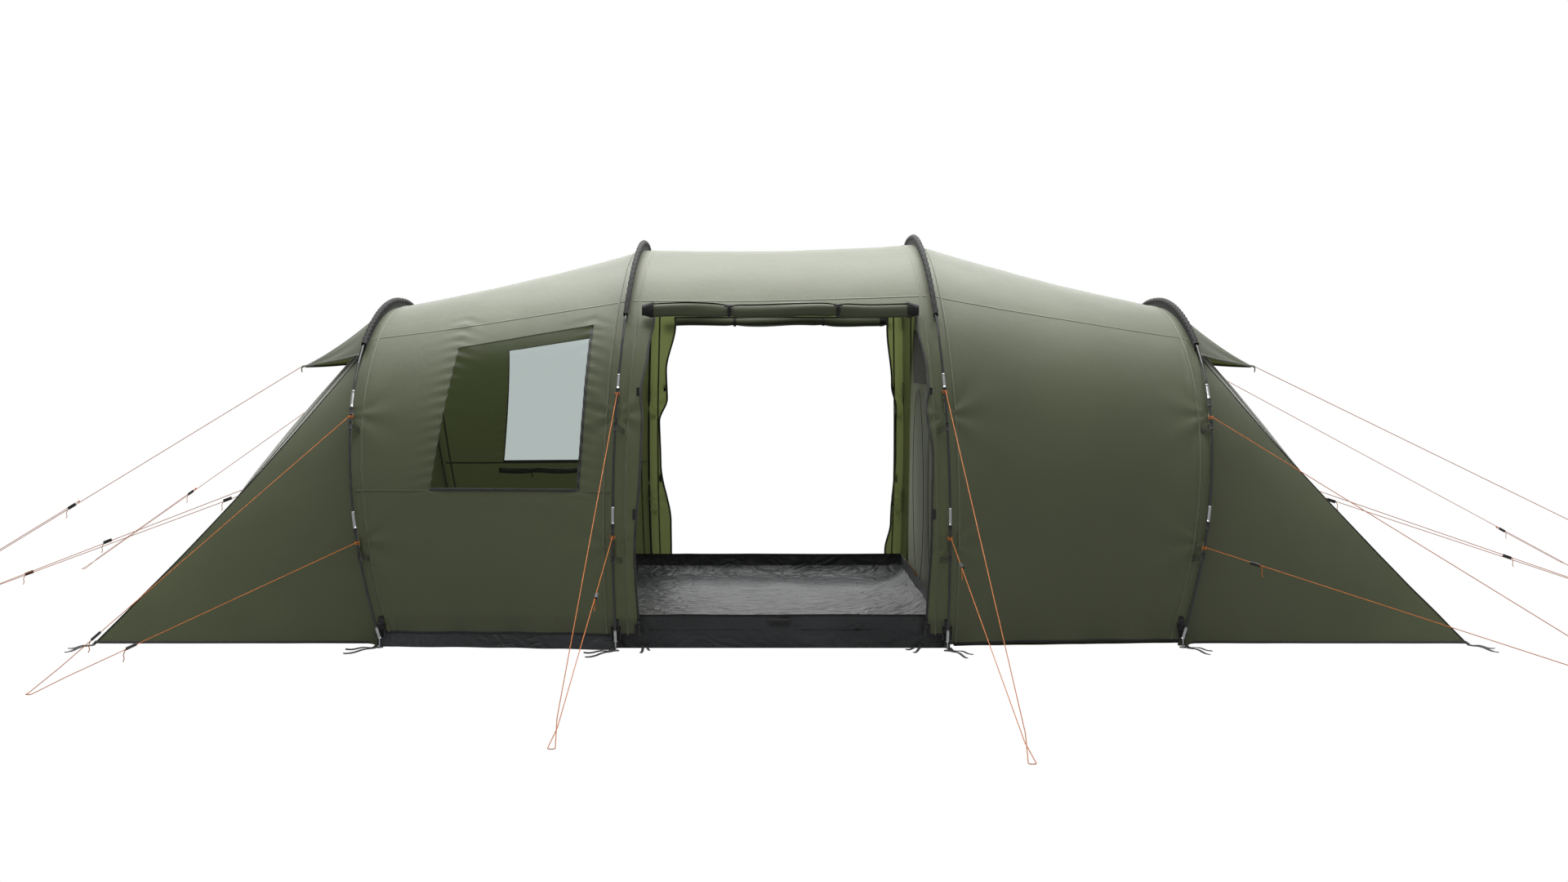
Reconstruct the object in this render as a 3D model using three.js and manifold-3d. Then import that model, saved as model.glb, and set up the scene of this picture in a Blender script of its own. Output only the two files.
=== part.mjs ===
// A four-hoop tunnel tent, standing pitched: fibreglass hoops in outside sleeves, an outer tent with
// windows and two rolled-up doors, a tub groundsheet, an inner bedroom and taut guylines with sliders.
// Millimetres. +X runs along the tent, +Y to its far side, +Z up. The origin is on the ground, in the
// middle of the tent. "Near" is the -Y side and "far" the +Y side.

import * as THREE from 'three';
import { mergeVertices } from 'three/addons/utils/BufferGeometryUtils.js';
import Module from 'manifold-3d';

// ---- Driving dimensions -------------------------------------------------------------------------

const CENTRE_LENGTH = 1506; // between the two tall hoops, at the ground
const SIDE_LENGTH = 1081; // from a tall hoop to the low hoop beside it
const END_LENGTH = 1346; // from a low hoop to the foot of the sloping end
const tallFoot = CENTRE_LENGTH / 2; // the distances of the hoops' feet from the tent's middle
const lowFoot = tallFoot + SIDE_LENGTH;
const endFoot = lowFoot + END_LENGTH;

const TALL = { width: 2600, height: 1962 }; // tall hoops, measured to the pole's centre
const TALL_UNEVEN = 15; // the right tall hoop stands this much higher, and the left this much lower
const LOW = { width: 2420, height: 1645 }; // low hoops
const END_WIDTH = 2040; // between the two ground corners of an end

const ARCH_POWER = 2.4; // 2 is an ellipse; more is squarer
const TALL_BOW = 27; // how far a tall hoop bows outwards at mid height
const TALL_LEAN = -48; // and how far its top leans inwards
const LOW_BOW = 215; // a low hoop bows outwards just above its feet
const LOW_LEAN = -42; // and its top comes back in a little
const LOW_BOW_POWER = 2.5; // how quickly it bows above the ground
const LOW_LEAN_POWER = 6; // how close to its top it comes back

const POLE_RADIUS = 5.5;
const POLE_FOOT_HEIGHT = 46; // the pole's lower end
const STANDOFF_SIDE = 36; // pole centre to outer tent, at the sides
const STANDOFF_TOP = 42; // and over the roof

const FABRIC = 3; // thickness of each cloth solid
const SIDE_SLOPE = (TALL.height - LOW.height) / SIDE_LENGTH; // of the roof beside the tall hoops
const SEAM_GAP = 0.1 + FABRIC * SIDE_SLOPE; // between sewn cloth solids, whose edges tilt with the roof
const ROOF_SAG = 16; // between hoops, at the ridge
const WALL_SAG = 22; // between hoops, at the sides
const HEM_HEIGHT = { living: 62, bedroom: 24, end: 9 }; // lower edge of the outer tent
const ARCH_STEPS = 28; // facets from one foot of an arch to the other

const SLEEVE_END_HEIGHT = LOW.height - 310; // the hoops leave their sleeves here
const SLEEVE_RADIUS = 12;
const SLEEVE_STEM = 2.5; // half thickness of the flat part below the pole
const SLEEVE_CLEARANCE = 1.5; // around the pole
const SLEEVE_LIFT = 2; // from the outer tent to the sleeve's lower edge

const RIDGE_HEIGHT = LOW.height - 255; // where an end's ridge meets its low hoop
const END_DROP = 1.6; // an end starts this many standoffs inside its hoop
const END_BULGE = 75; // the end's guyline pulls its middle out
const BULGE_OUTWARD = 0.8; // shares of the bulge that go outwards and upwards
const BULGE_UPWARD = 0.6;
const END_INSET = 5; // an end starts this far inside its hoop's line
const RIDGE_SAG = 24; // the ends' ridges hang in between hoop and ground
const FOOT_STEP = 70; // from a low hoop to the first point of the end's hem

// The peaked hoods over the vents at the tops of the ends, each from its low hoop to a tip.
const HOOD = {
  tip: lowFoot + 696,
  tipHeight: LOW.height - 353,
  tipWidth: 70,
  startHeight: LOW.height - 300,
  offset: 20,
  drop: 0.78,
};

// The doorways between the tall hoops, and the doors rolled up above them.
const DOOR = {
  halfBottom: tallFoot - 69,
  halfTop: tallFoot - 131,
  topHeight: TALL.height - 380,
};
const DOOR_ROLL = {
  radius: 29,
  tallness: 1.28,
  height: DOOR.topHeight - 20,
  standoff: 46,
  halfLength: DOOR.halfTop + 28,
};

// The windows of the left section, by their distances from the tent's middle, and their curtains.
const WINDOW = {
  low: 722,
  highOuter: LOW.height - 261,
  highInner: TALL.height - 473,
  outerLow: lowFoot - 196,
  outerHigh: lowFoot - 274,
  innerLow: tallFoot + 186,
  innerHigh: tallFoot + 150,
};
const PANE_GAP = 2;
const CURTAIN = {
  radius: 17,
  height: WINDOW.low - 50,
  from: WINDOW.outerLow + 17,
  to: WINDOW.innerLow + 6,
  standoff: 34,
};

// The groundsheet of the living area, which ends inside hoop 1 and just past hoop 3.
const TUB = { from: 44 - lowFoot, to: tallFoot + 10, height: 150, sheet: 4, wallGap: 39 };

// The bedroom, hung inside the right section, and the mesh panel in its front.
const INNER = {
  front: tallFoot + 45,
  back: endFoot - 230,
  backWidth: END_WIDTH - 440,
  inset: 80,
  drop: 90,
  floor: 5,
  gap: 3,
};
const MESH = {
  halfWidth: TALL.width / 2 - 530,
  low: TALL.height * 0.62,
  high: TALL.height * 0.754,
  thickness: 2,
  gap: 1.5,
};

const PIN = { radius: 4, ringRadius: 17, ringHeight: 4, gap: 4 };

const CORD_RADIUS = 1.75;
const PEG_LOOP = 13; // radius of a guyline's turn round its peg
const PEG_SPREAD = 150; // a guyline opens into its loop this far from the peg
const RUNNER = { length: 46, width: 17, thickness: 10, bore: 2.8, spacing: 7 };

// ---- Colours ------------------------------------------------------------------------------------

const finish = (color, roughness, metalness = 0) => ({ color, roughness, metalness });
const OLIVE = finish(0x565c44, 0.75);
const OLIVE_DARK = finish(0x3c4030, 0.8);
const INNER_CLOTH = finish(0x5b6048, 0.85);
const BLACK_WEB = finish(0x1d1e1e, 0.8);
const TUB_GREY = finish(0x3a3c3d, 0.45);
const CLEAR = finish(0xaab6b4, 0.2);
const FIBREGLASS = finish(0x17181a, 0.35);
const STEEL = finish(0xb9bcbd, 0.3, 1);
const ORANGE = finish(0xc8642a, 0.7);
const PLASTIC = finish(0x141414, 0.5);

const tent = new THREE.Group();

function add(name, geometry, look) {
  const material = new THREE.MeshStandardMaterial(look);
  const mesh = new THREE.Mesh(geometry, material);
  mesh.name = name;
  tent.add(mesh);
  return mesh;
}

// ---- Solids -------------------------------------------------------------------------------------

const wasm = await Module();
wasm.setup();

function toManifold(geometry) {
  const bare = geometry.clone();
  bare.deleteAttribute('normal');
  bare.deleteAttribute('uv');
  const merged = mergeVertices(bare, 1e-3);
  const vertProperties = new Float32Array(merged.attributes.position.array);
  const triVerts = new Uint32Array(merged.index.array);
  return new wasm.Manifold(new wasm.Mesh({ numProp: 3, vertProperties, triVerts }));
}

function fromManifold(solid) {
  const mesh = solid.getMesh();
  const geometry = new THREE.BufferGeometry();
  geometry.setAttribute('position', new THREE.BufferAttribute(mesh.vertProperties, 3));
  geometry.setIndex(new THREE.BufferAttribute(mesh.triVerts, 1));
  geometry.computeVertexNormals();
  return geometry;
}

const subtract = (a, b) => fromManifold(toManifold(a).subtract(toManifold(b)));
const intersect = (a, b) => fromManifold(toManifold(a).intersect(toManifold(b)));

function signedVolume(points, triangles) {
  const cross = new THREE.Vector3();
  let volume = 0;
  for (const [a, b, c] of triangles) {
    volume += points[a].dot(cross.crossVectors(points[b], points[c])) / 6;
  }
  return volume;
}

// A closed solid from points and triangles that all turn the same way, in or out.
function solidFrom(points, triangles) {
  const outward = signedVolume(points, triangles) > 0;
  const index = [];
  for (const [a, b, c] of triangles) {
    index.push(...(outward ? [a, b, c] : [a, c, b]));
  }
  const geometry = new THREE.BufferGeometry().setFromPoints(points);
  geometry.setIndex(index);
  geometry.computeVertexNormals();
  return geometry;
}

// A sheet of cloth as a closed solid: surface(u, v) is its outer face, and its thickness lies on the
// side of the point `inside`.
function sheetSolid(surface, uSteps, vSteps, thickness, inside = new THREE.Vector3(0, 0, 500)) {
  const outer = [];
  for (let i = 0; i <= uSteps; i++) {
    for (let j = 0; j <= vSteps; j++) {
      outer.push(surface(i / uSteps, j / vSteps));
    }
  }
  const at = (i, j) => i * (vSteps + 1) + j;
  const clampU = (i) => Math.min(uSteps, Math.max(0, i));
  const clampV = (j) => Math.min(vSteps, Math.max(0, j));
  const normalAt = (i, j) => {
    const along = outer[at(clampU(i + 1), j)].clone().sub(outer[at(clampU(i - 1), j)]);
    const across = outer[at(i, clampV(j + 1))].clone().sub(outer[at(i, clampV(j - 1))]);
    return along.cross(across).normalize();
  };
  const [midU, midV] = [Math.round(uSteps / 2), Math.round(vSteps / 2)];
  const toInside = inside.clone().sub(outer[at(midU, midV)]);
  const inward = Math.sign(normalAt(midU, midV).dot(toInside));
  const inner = [];
  for (let i = 0; i <= uSteps; i++) {
    for (let j = 0; j <= vSteps; j++) {
      inner.push(outer[at(i, j)].clone().addScaledVector(normalAt(i, j), inward * thickness));
    }
  }
  const shift = outer.length;
  const triangles = [];
  const quad = (a, b, c, d) => triangles.push([a, b, c], [a, c, d]);
  for (let i = 0; i < uSteps; i++) {
    for (let j = 0; j < vSteps; j++) {
      quad(at(i, j), at(i + 1, j), at(i + 1, j + 1), at(i, j + 1));
      quad(shift + at(i, j), shift + at(i, j + 1), shift + at(i + 1, j + 1), shift + at(i + 1, j));
    }
    quad(at(i, 0), shift + at(i, 0), shift + at(i + 1, 0), at(i + 1, 0));
    quad(at(i + 1, vSteps), shift + at(i + 1, vSteps), shift + at(i, vSteps), at(i, vSteps));
  }
  for (let j = 0; j < vSteps; j++) {
    quad(at(0, j + 1), shift + at(0, j + 1), shift + at(0, j), at(0, j));
    quad(at(uSteps, j), shift + at(uSteps, j), shift + at(uSteps, j + 1), at(uSteps, j + 1));
  }
  return solidFrom([...outer, ...inner], triangles);
}

// A closed solid through rings of points, each ring convex and with as many points as the next.
function loftSolid(rings) {
  const count = rings[0].length;
  const points = rings.flat();
  const triangles = [];
  for (let r = 0; r + 1 < rings.length; r++) {
    for (let k = 0; k < count; k++) {
      const next = (k + 1) % count;
      const [a, b] = [r * count + k, r * count + next];
      triangles.push([a, a + count, b], [b, a + count, b + count]);
    }
  }
  const last = (rings.length - 1) * count;
  for (let k = 1; k + 1 < count; k++) {
    triangles.push([0, k, k + 1], [last, last + k + 1, last + k]);
  }
  return solidFrom(points, triangles);
}

function circleShape(radius) {
  return new THREE.Shape().absarc(0, 0, radius, 0, 2 * Math.PI, false);
}

// A round tube or rod along a curve, with 8 sides: an arc has two points to each curve segment.
function rod(curve, radius, steps) {
  return new THREE.ExtrudeGeometry(circleShape(radius), {
    steps,
    curveSegments: 4,
    bevelEnabled: false,
    extrudePath: curve,
  });
}

// A straight prism across the tent on one side: the outline is in X and Z, and it runs from `fromY`
// to `toY`.
function sidePrism(outline, fromY, toY) {
  const shape = new THREE.Shape(outline.map(([x, z]) => new THREE.Vector2(x, z)));
  const geometry = new THREE.ExtrudeGeometry(shape, { depth: Math.abs(toY - fromY), bevelEnabled: false });
  geometry.rotateX(Math.PI / 2); // the outline's second axis becomes Z, its depth runs to -Y
  geometry.translate(0, Math.max(fromY, toY), 0);
  return geometry;
}

// ---- The arch -----------------------------------------------------------------------------------

// A point of an arch, from the near foot (share 0) over the top to the far foot (share 1).
function archPoint(share, halfWidth, height) {
  const angle = Math.PI * share;
  const across = Math.abs(Math.cos(angle)) ** (2 / ARCH_POWER);
  const up = Math.abs(Math.sin(angle)) ** (2 / ARCH_POWER);
  return { y: -Math.sign(Math.cos(angle)) * halfWidth * across, z: height * up };
}

// The share at which an arch of this height is at height z, on the near side.
function shareAtHeight(z, height) {
  return Math.asin((z / height) ** (ARCH_POWER / 2)) / Math.PI;
}

// How far from the tent's middle each kind of hoop is, at a share `q` of its height.
const tallReach = (q) => tallFoot + TALL_BOW * Math.sin(Math.PI * q) + TALL_LEAN * q * q;
const lowReach = (q) => lowFoot + LOW_BOW * (1 - (1 - q) ** LOW_BOW_POWER) + LOW_LEAN * q ** LOW_LEAN_POWER;

const tallSize = (rise) => ({ width: TALL.width, height: TALL.height + rise });

const hoops = [
  { name: 'hoop_1', side: -1, size: LOW, reach: lowReach },
  { name: 'hoop_2', side: -1, size: tallSize(-TALL_UNEVEN), reach: tallReach },
  { name: 'hoop_3', side: 1, size: tallSize(TALL_UNEVEN), reach: tallReach },
  { name: 'hoop_4', side: 1, size: LOW, reach: lowReach },
];

// A point on a hoop's arch. `inset` moves it from the pole towards the tent: 0 is the pole's centre,
// 1 the outer tent's face.
function hoopPoint(hoop, share, inset = 0) {
  const halfWidth = hoop.size.width / 2 - inset * STANDOFF_SIDE;
  const height = hoop.size.height - inset * STANDOFF_TOP;
  const { y, z } = archPoint(share, halfWidth, height);
  return new THREE.Vector3(hoop.side * hoop.reach(z / height), y, z);
}

class HoopCurve extends THREE.Curve {
  constructor(hoop, fromShare, toShare) {
    super();
    Object.assign(this, { hoop, fromShare, toShare });
  }
  getPoint(t, target = new THREE.Vector3()) {
    return target.copy(hoopPoint(this.hoop, THREE.MathUtils.lerp(this.fromShare, this.toShare, t)));
  }
}

// ---- Hoops, pins and sleeves --------------------------------------------------------------------

const POLE_STEPS = 44;

// The arch shares at which cloth has its points: the hem, then even steps, then the far hem.
function archShares(hemHeight, height) {
  const first = shareAtHeight(hemHeight, height);
  const shares = [first];
  for (let k = 1; k < ARCH_STEPS; k++) {
    shares.push(k / ARCH_STEPS);
  }
  return [...shares, 1 - first];
}

// The first even step of an arch that is at least as high as z.
const stepAbove = (z, height) => Math.ceil(shareAtHeight(z, height) * ARCH_STEPS);

// The sleeve's section at one place: round over the pole, flat where it is sewn to the roof.
function sleeveRing(hoop, share) {
  const centre = hoopPoint(hoop, share);
  const up = centre.clone().sub(hoopPoint(hoop, share, 1));
  const depth = up.length() - SLEEVE_LIFT;
  up.normalize();
  const at = (x, y) => centre.clone().addScaledVector(up, y).add(new THREE.Vector3(x, 0, 0));
  const ring = [at(-SLEEVE_STEM, -depth), at(SLEEVE_STEM, -depth)];
  const turns = 6;
  for (let k = 0; k <= turns; k++) {
    const angle = THREE.MathUtils.degToRad(-50 + (280 * k) / turns);
    ring.push(at(SLEEVE_RADIUS * Math.cos(angle), SLEEVE_RADIUS * Math.sin(angle)));
  }
  return ring;
}

function sleeve(hoop, bore) {
  const first = stepAbove(SLEEVE_END_HEIGHT, hoop.size.height);
  const rings = [];
  for (let k = first; k <= ARCH_STEPS - first; k++) {
    rings.push(sleeveRing(hoop, k / ARCH_STEPS));
  }
  return subtract(loftSolid(rings), bore);
}

// The steel pin that holds a pole's end, standing on its ring.
function footPin(foot) {
  const pinHeight = POLE_FOOT_HEIGHT - PIN.gap;
  const stem = new THREE.CylinderGeometry(PIN.radius, PIN.radius, pinHeight, 10);
  stem.rotateX(Math.PI / 2);
  stem.translate(0, 0, pinHeight / 2);
  const ring = new THREE.CylinderGeometry(PIN.ringRadius, PIN.ringRadius, PIN.ringHeight, 12);
  ring.rotateX(Math.PI / 2);
  ring.translate(0, 0, PIN.ringHeight / 2);
  const pin = fromManifold(toManifold(stem).add(toManifold(ring)));
  return pin.translate(foot.x, foot.y, 0);
}

for (const hoop of hoops) {
  const start = shareAtHeight(POLE_FOOT_HEIGHT, hoop.size.height);
  const curve = new HoopCurve(hoop, start, 1 - start);
  add(hoop.name, rod(curve, POLE_RADIUS, POLE_STEPS), FIBREGLASS);
  const bore = rod(curve, POLE_RADIUS + SLEEVE_CLEARANCE, POLE_STEPS);
  add(hoop.name.replace('hoop', 'sleeve'), sleeve(hoop, bore), OLIVE_DARK);
  for (const [share, place] of [[start, 'near'], [1 - start, 'far']]) {
    add(hoop.name.replace('hoop', `foot_pin_${place}`), footPin(hoopPoint(hoop, share)), STEEL);
  }
}

// ---- Outer tent: sections between hoops ---------------------------------------------------------

// A point between two hoops: s runs from the first to the second, k counts the arch's points.
function sectionPoint(a, b, s, k, hemHeight) {
  const ends = [a, b].map((hoop) => {
    const height = hoop.size.height - STANDOFF_TOP;
    return hoopPoint(hoop, archShares(hemHeight, height)[k], 1);
  });
  const point = ends[0].lerp(ends[1], s);
  const sag = 4 * s * (1 - s);
  const share = k / ARCH_STEPS;
  point.z -= ROOF_SAG * sag * Math.sin(Math.PI * share) ** 2;
  point.y += WALL_SAG * sag * Math.cos(Math.PI * share) ** 3;
  return point;
}

function section(a, b, hemHeight, steps) {
  const seam = SEAM_GAP / (2 * SIDE_LENGTH);
  const surface = (u, v) => {
    const s = THREE.MathUtils.lerp(seam, 1 - seam, u);
    return sectionPoint(a, b, s, Math.round(v * ARCH_STEPS), hemHeight);
  };
  return sheetSolid(surface, steps, ARCH_STEPS, FABRIC);
}

const [hoop1, hoop2, hoop3, hoop4] = hoops;
const SECTION_STEPS = 4;

const sideReach = TALL.width; // far enough for a cut that goes through one side wall only
const cutFrom = TALL.width / 4;

function onSide(side, outline) {
  return sidePrism(outline, side * cutFrom, side * sideReach);
}

function windowOutline(gap) {
  return [
    [-WINDOW.outerLow + gap, WINDOW.low + gap],
    [-WINDOW.innerLow - gap, WINDOW.low + gap],
    [-WINDOW.innerHigh - gap, WINDOW.highInner - gap],
    [-WINDOW.outerHigh + gap, WINDOW.highOuter - gap],
  ];
}

const doorOutline = [
  [-DOOR.halfBottom, -TUB.height],
  [DOOR.halfBottom, -TUB.height],
  [DOOR.halfTop, DOOR.topHeight],
  [-DOOR.halfTop, DOOR.topHeight],
];

const sides = [{ side: -1, place: 'near' }, { side: 1, place: 'far' }];

const leftCloth = section(hoop1, hoop2, HEM_HEIGHT.living, SECTION_STEPS);
let leftSection = leftCloth;
let centreSection = section(hoop2, hoop3, HEM_HEIGHT.living, SECTION_STEPS);
for (const { side, place } of sides) {
  leftSection = subtract(leftSection, onSide(side, windowOutline(0)));
  centreSection = subtract(centreSection, onSide(side, doorOutline));
  add(`window_${place}`, intersect(leftCloth, onSide(side, windowOutline(PANE_GAP))), CLEAR);
}
add('outer_left', leftSection, OLIVE);
add('outer_centre', centreSection, OLIVE);
add('outer_right', section(hoop3, hoop4, HEM_HEIGHT.bedroom, SECTION_STEPS), OLIVE);

// ---- Outer tent: sloping ends -------------------------------------------------------------------

// The ground line of an end, by arch share: along one side to a corner, across, and back.
function groundLine(hoop, share, line) {
  const turned = Math.min(share, 1 - share);
  const near = share < 0.5 ? -1 : 1;
  if (turned < line.ridge) {
    const t = turned / line.ridge;
    const x = THREE.MathUtils.lerp(line.startX, line.endX, t);
    return new THREE.Vector3(hoop.side * x, near * THREE.MathUtils.lerp(line.startY, line.endY, t), line.z);
  }
  const across = (share - 0.5) / (0.5 - line.ridge);
  return new THREE.Vector3(hoop.side * line.endX, across * line.endY, line.z);
}

// A point of an end: s runs from the hoop's arch down to the ground line.
function endPoint(hoop, arch, s, k, line, bulge) {
  const share = line.shares[k];
  const point = arch(k).lerp(groundLine(hoop, share, line), s);
  const middle = THREE.MathUtils.clamp((share - line.ridge) / (1 - 2 * line.ridge), 0, 1);
  const arc = Math.sin(Math.PI * s);
  const out = arc * (bulge.middle * Math.sin(Math.PI * middle) ** 2 - bulge.ridge);
  point.x += hoop.side * BULGE_OUTWARD * out;
  point.z += BULGE_UPWARD * out;
  return point;
}

const END_STEPS = 6;
const endBulge = { middle: END_BULGE + RIDGE_SAG, ridge: RIDGE_SAG };
const noBulge = { middle: 0, ridge: 0 };

function endPanel(hoop) {
  const height = hoop.size.height - END_DROP * STANDOFF_TOP;
  const line = {
    shares: archShares(HEM_HEIGHT.end, height),
    ridge: shareAtHeight(RIDGE_HEIGHT, height),
    startX: lowFoot + FOOT_STEP,
    startY: LOW.width / 2 - END_DROP * STANDOFF_SIDE - END_INSET,
    endX: endFoot,
    endY: END_WIDTH / 2,
    z: HEM_HEIGHT.end,
  };
  const seam = new THREE.Vector3(hoop.side * SEAM_GAP, 0, 0);
  const arch = (k) => hoopPoint(hoop, line.shares[k], END_DROP).add(seam);
  const surface = (u, v) => endPoint(hoop, arch, u, Math.round(v * ARCH_STEPS), line, endBulge);
  return sheetSolid(surface, END_STEPS, ARCH_STEPS, FABRIC);
}

// The peaked hood over the vent at the top of an end.
function hood(hoop) {
  const first = stepAbove(HOOD.startHeight, hoop.size.height - STANDOFF_TOP);
  const count = ARCH_STEPS - 2 * first;
  const surface = (u, v) => {
    const share = (first + Math.round(v * count)) / ARCH_STEPS;
    const start = hoopPoint(hoop, share, HOOD.drop);
    start.x += hoop.side * HOOD.offset;
    const tip = new THREE.Vector3(hoop.side * HOOD.tip, (v - 0.5) * HOOD.tipWidth, HOOD.tipHeight);
    return start.lerp(tip, u);
  };
  return sheetSolid(surface, 3, count, FABRIC);
}

add('outer_left_end', endPanel(hoop1), OLIVE);
add('outer_right_end', endPanel(hoop4), OLIVE);
add('vent_hood_left', hood(hoop1), OLIVE);
add('vent_hood_right', hood(hoop4), OLIVE);

// ---- Rolled doors and window curtains -----------------------------------------------------------

// A rolled length of cloth lying along X.
function clothRoll(radius, fromX, toX, tallness) {
  const length = toX - fromX - 2 * radius;
  const roll = new THREE.CapsuleGeometry(radius, length, 3, 12);
  roll.rotateZ(Math.PI / 2);
  roll.scale(1, 1, tallness);
  return roll.translate((fromX + toX) / 2, 0, 0);
}

// Half the outer tent's width at a height, at a tall hoop or half way to its neighbour.
function wallAt(z, size) {
  const height = size.height - STANDOFF_TOP;
  const share = shareAtHeight(z, height);
  return Math.abs(archPoint(share, size.width / 2 - STANDOFF_SIDE, height).y);
}

for (const { side, place } of sides) {
  const door = clothRoll(DOOR_ROLL.radius, -DOOR_ROLL.halfLength, DOOR_ROLL.halfLength, DOOR_ROLL.tallness);
  const doorY = wallAt(DOOR_ROLL.height, TALL) + DOOR_ROLL.standoff;
  add(`door_roll_${place}`, door.translate(0, side * doorY, DOOR_ROLL.height), OLIVE);

  const curtain = clothRoll(CURTAIN.radius, -CURTAIN.from, -CURTAIN.to, 1);
  const inside = wallAt(CURTAIN.height, LOW) - WALL_SAG - CURTAIN.standoff;
  add(`curtain_roll_${place}`, curtain.translate(0, side * inside, CURTAIN.height), OLIVE_DARK);
}

// ---- Groundsheet --------------------------------------------------------------------------------

// The plan of the living area's floor, `step` inside its outer edge.
function tubPlan(step) {
  const tall = TALL.width / 2 - TUB.wallGap - STANDOFF_SIDE - step;
  const low = LOW.width / 2 - TUB.wallGap - STANDOFF_SIDE - step;
  const corners = [[TUB.from + step, low], [-tallFoot, tall], [TUB.to - step, tall]];
  const near = corners.map(([x, y]) => new THREE.Vector2(x, -y));
  const far = corners.reverse().map(([x, y]) => new THREE.Vector2(x, y));
  return new THREE.Shape([...near, ...far]);
}

function slab(shape, height) {
  return new THREE.ExtrudeGeometry(shape, { depth: height, bevelEnabled: false });
}

const tubHollow = slab(tubPlan(TUB.sheet), TUB.height).translate(0, 0, TUB.sheet);
add('groundsheet_tub', subtract(slab(tubPlan(0), TUB.height), tubHollow), TUB_GREY);

// ---- Inner bedroom ------------------------------------------------------------------------------

const innerSize = (size) => ({
  halfWidth: size.width / 2 - STANDOFF_SIDE - INNER.inset,
  height: size.height - STANDOFF_TOP - INNER.drop,
});

// An arch of the bedroom, at a distance x from the tent's middle.
function innerArch(x, size, k) {
  const { halfWidth, height } = innerSize(size);
  const { y, z } = archPoint(archShares(INNER.floor + INNER.gap, height)[k], halfWidth, height);
  return new THREE.Vector3(x, y, z);
}

const innerBreak = lowFoot + INNER.inset / 2; // where the bedroom's roof starts to slope down

function innerCanopy() {
  const { halfWidth, height } = innerSize(LOW);
  const line = {
    shares: archShares(INNER.floor + INNER.gap, height),
    ridge: shareAtHeight(RIDGE_HEIGHT - INNER.drop, height),
    startX: innerBreak + FOOT_STEP,
    startY: halfWidth - END_INSET,
    endX: INNER.back,
    endY: INNER.backWidth / 2,
    z: INNER.floor + INNER.gap,
  };
  const frontSteps = 3;
  const endSteps = 4;
  const steps = frontSteps + endSteps;
  const lowArch = (k) => innerArch(innerBreak, LOW, k);
  const surface = (u, v) => {
    const k = Math.round(v * ARCH_STEPS);
    const step = Math.round(u * steps);
    if (step <= frontSteps) {
      return innerArch(INNER.front, TALL, k).lerp(lowArch(k), step / frontSteps);
    }
    return endPoint(hoop4, lowArch, (step - frontSteps) / endSteps, k, line, noBulge);
  };
  return sheetSolid(surface, steps, ARCH_STEPS, FABRIC);
}

function innerFloorPlan() {
  const tall = innerSize(TALL).halfWidth;
  const low = innerSize(LOW).halfWidth;
  const back = INNER.backWidth / 2;
  const corners = [[INNER.front, tall], [innerBreak, low], [INNER.back, back]];
  const near = corners.map(([x, y]) => new THREE.Vector2(x, -y));
  const far = corners.reverse().map(([x, y]) => new THREE.Vector2(x, y));
  return new THREE.Shape([...near, ...far]);
}

// A flat panel across the tent: the shape is drawn in Y and Z, its front face is at x.
function crossPanel(shape, x, thickness) {
  const panel = new THREE.ExtrudeGeometry(shape, { depth: thickness, bevelEnabled: false });
  panel.rotateY(Math.PI / 2);
  panel.rotateX(Math.PI / 2);
  return panel.translate(x, 0, 0);
}

function innerFrontShape() {
  const points = [];
  for (let k = 0; k <= ARCH_STEPS; k++) {
    const point = innerArch(0, TALL, k);
    points.push(new THREE.Vector2(point.y, point.z));
  }
  return new THREE.Shape(points);
}

function rectangle(halfWidth, low, high) {
  const corners = [[-halfWidth, low], [halfWidth, low], [halfWidth, high], [-halfWidth, high]];
  return new THREE.Shape(corners.map(([y, z]) => new THREE.Vector2(y, z)));
}

const frontX = INNER.front - FABRIC - INNER.gap;
const frontShape = innerFrontShape();
frontShape.holes.push(rectangle(MESH.halfWidth, MESH.low, MESH.high));
add('inner_canopy', innerCanopy(), INNER_CLOTH);
add('inner_floor', slab(innerFloorPlan(), INNER.floor), TUB_GREY);
add('inner_front', crossPanel(frontShape, frontX, FABRIC), INNER_CLOTH);
const meshShape = rectangle(MESH.halfWidth - MESH.gap, MESH.low + MESH.gap, MESH.high - MESH.gap);
add('inner_mesh', crossPanel(meshShape, frontX + MESH.gap / 2, MESH.thickness), BLACK_WEB);

// ---- Guylines and their sliders -----------------------------------------------------------------

// A route that a tube follows point by point.
class RouteCurve extends THREE.Curve {
  constructor(points) {
    super();
    this.points = points;
  }
  getPoint(t, target = new THREE.Vector3()) {
    const place = THREE.MathUtils.clamp(t, 0, 1) * (this.points.length - 1);
    const k = Math.min(Math.floor(place), this.points.length - 2);
    return target.lerpVectors(this.points[k], this.points[k + 1], place - k);
  }
  getPointAt(u, target) {
    return this.getPoint(u, target);
  }
  getTangentAt(u, target) {
    return this.getTangent(u, target);
  }
}

const UP = new THREE.Vector3(0, 0, 1);
const directionTo = (from, to) => to.clone().sub(from).normalize();

// The way from a slider's first hole to its second, on a leg that runs from `from` to `to`.
function slotOffset(from, to) {
  const turn = new THREE.Quaternion().setFromUnitVectors(UP, directionTo(from, to));
  return new THREE.Vector3(RUNNER.spacing, 0, 0).applyQuaternion(turn);
}

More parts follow.
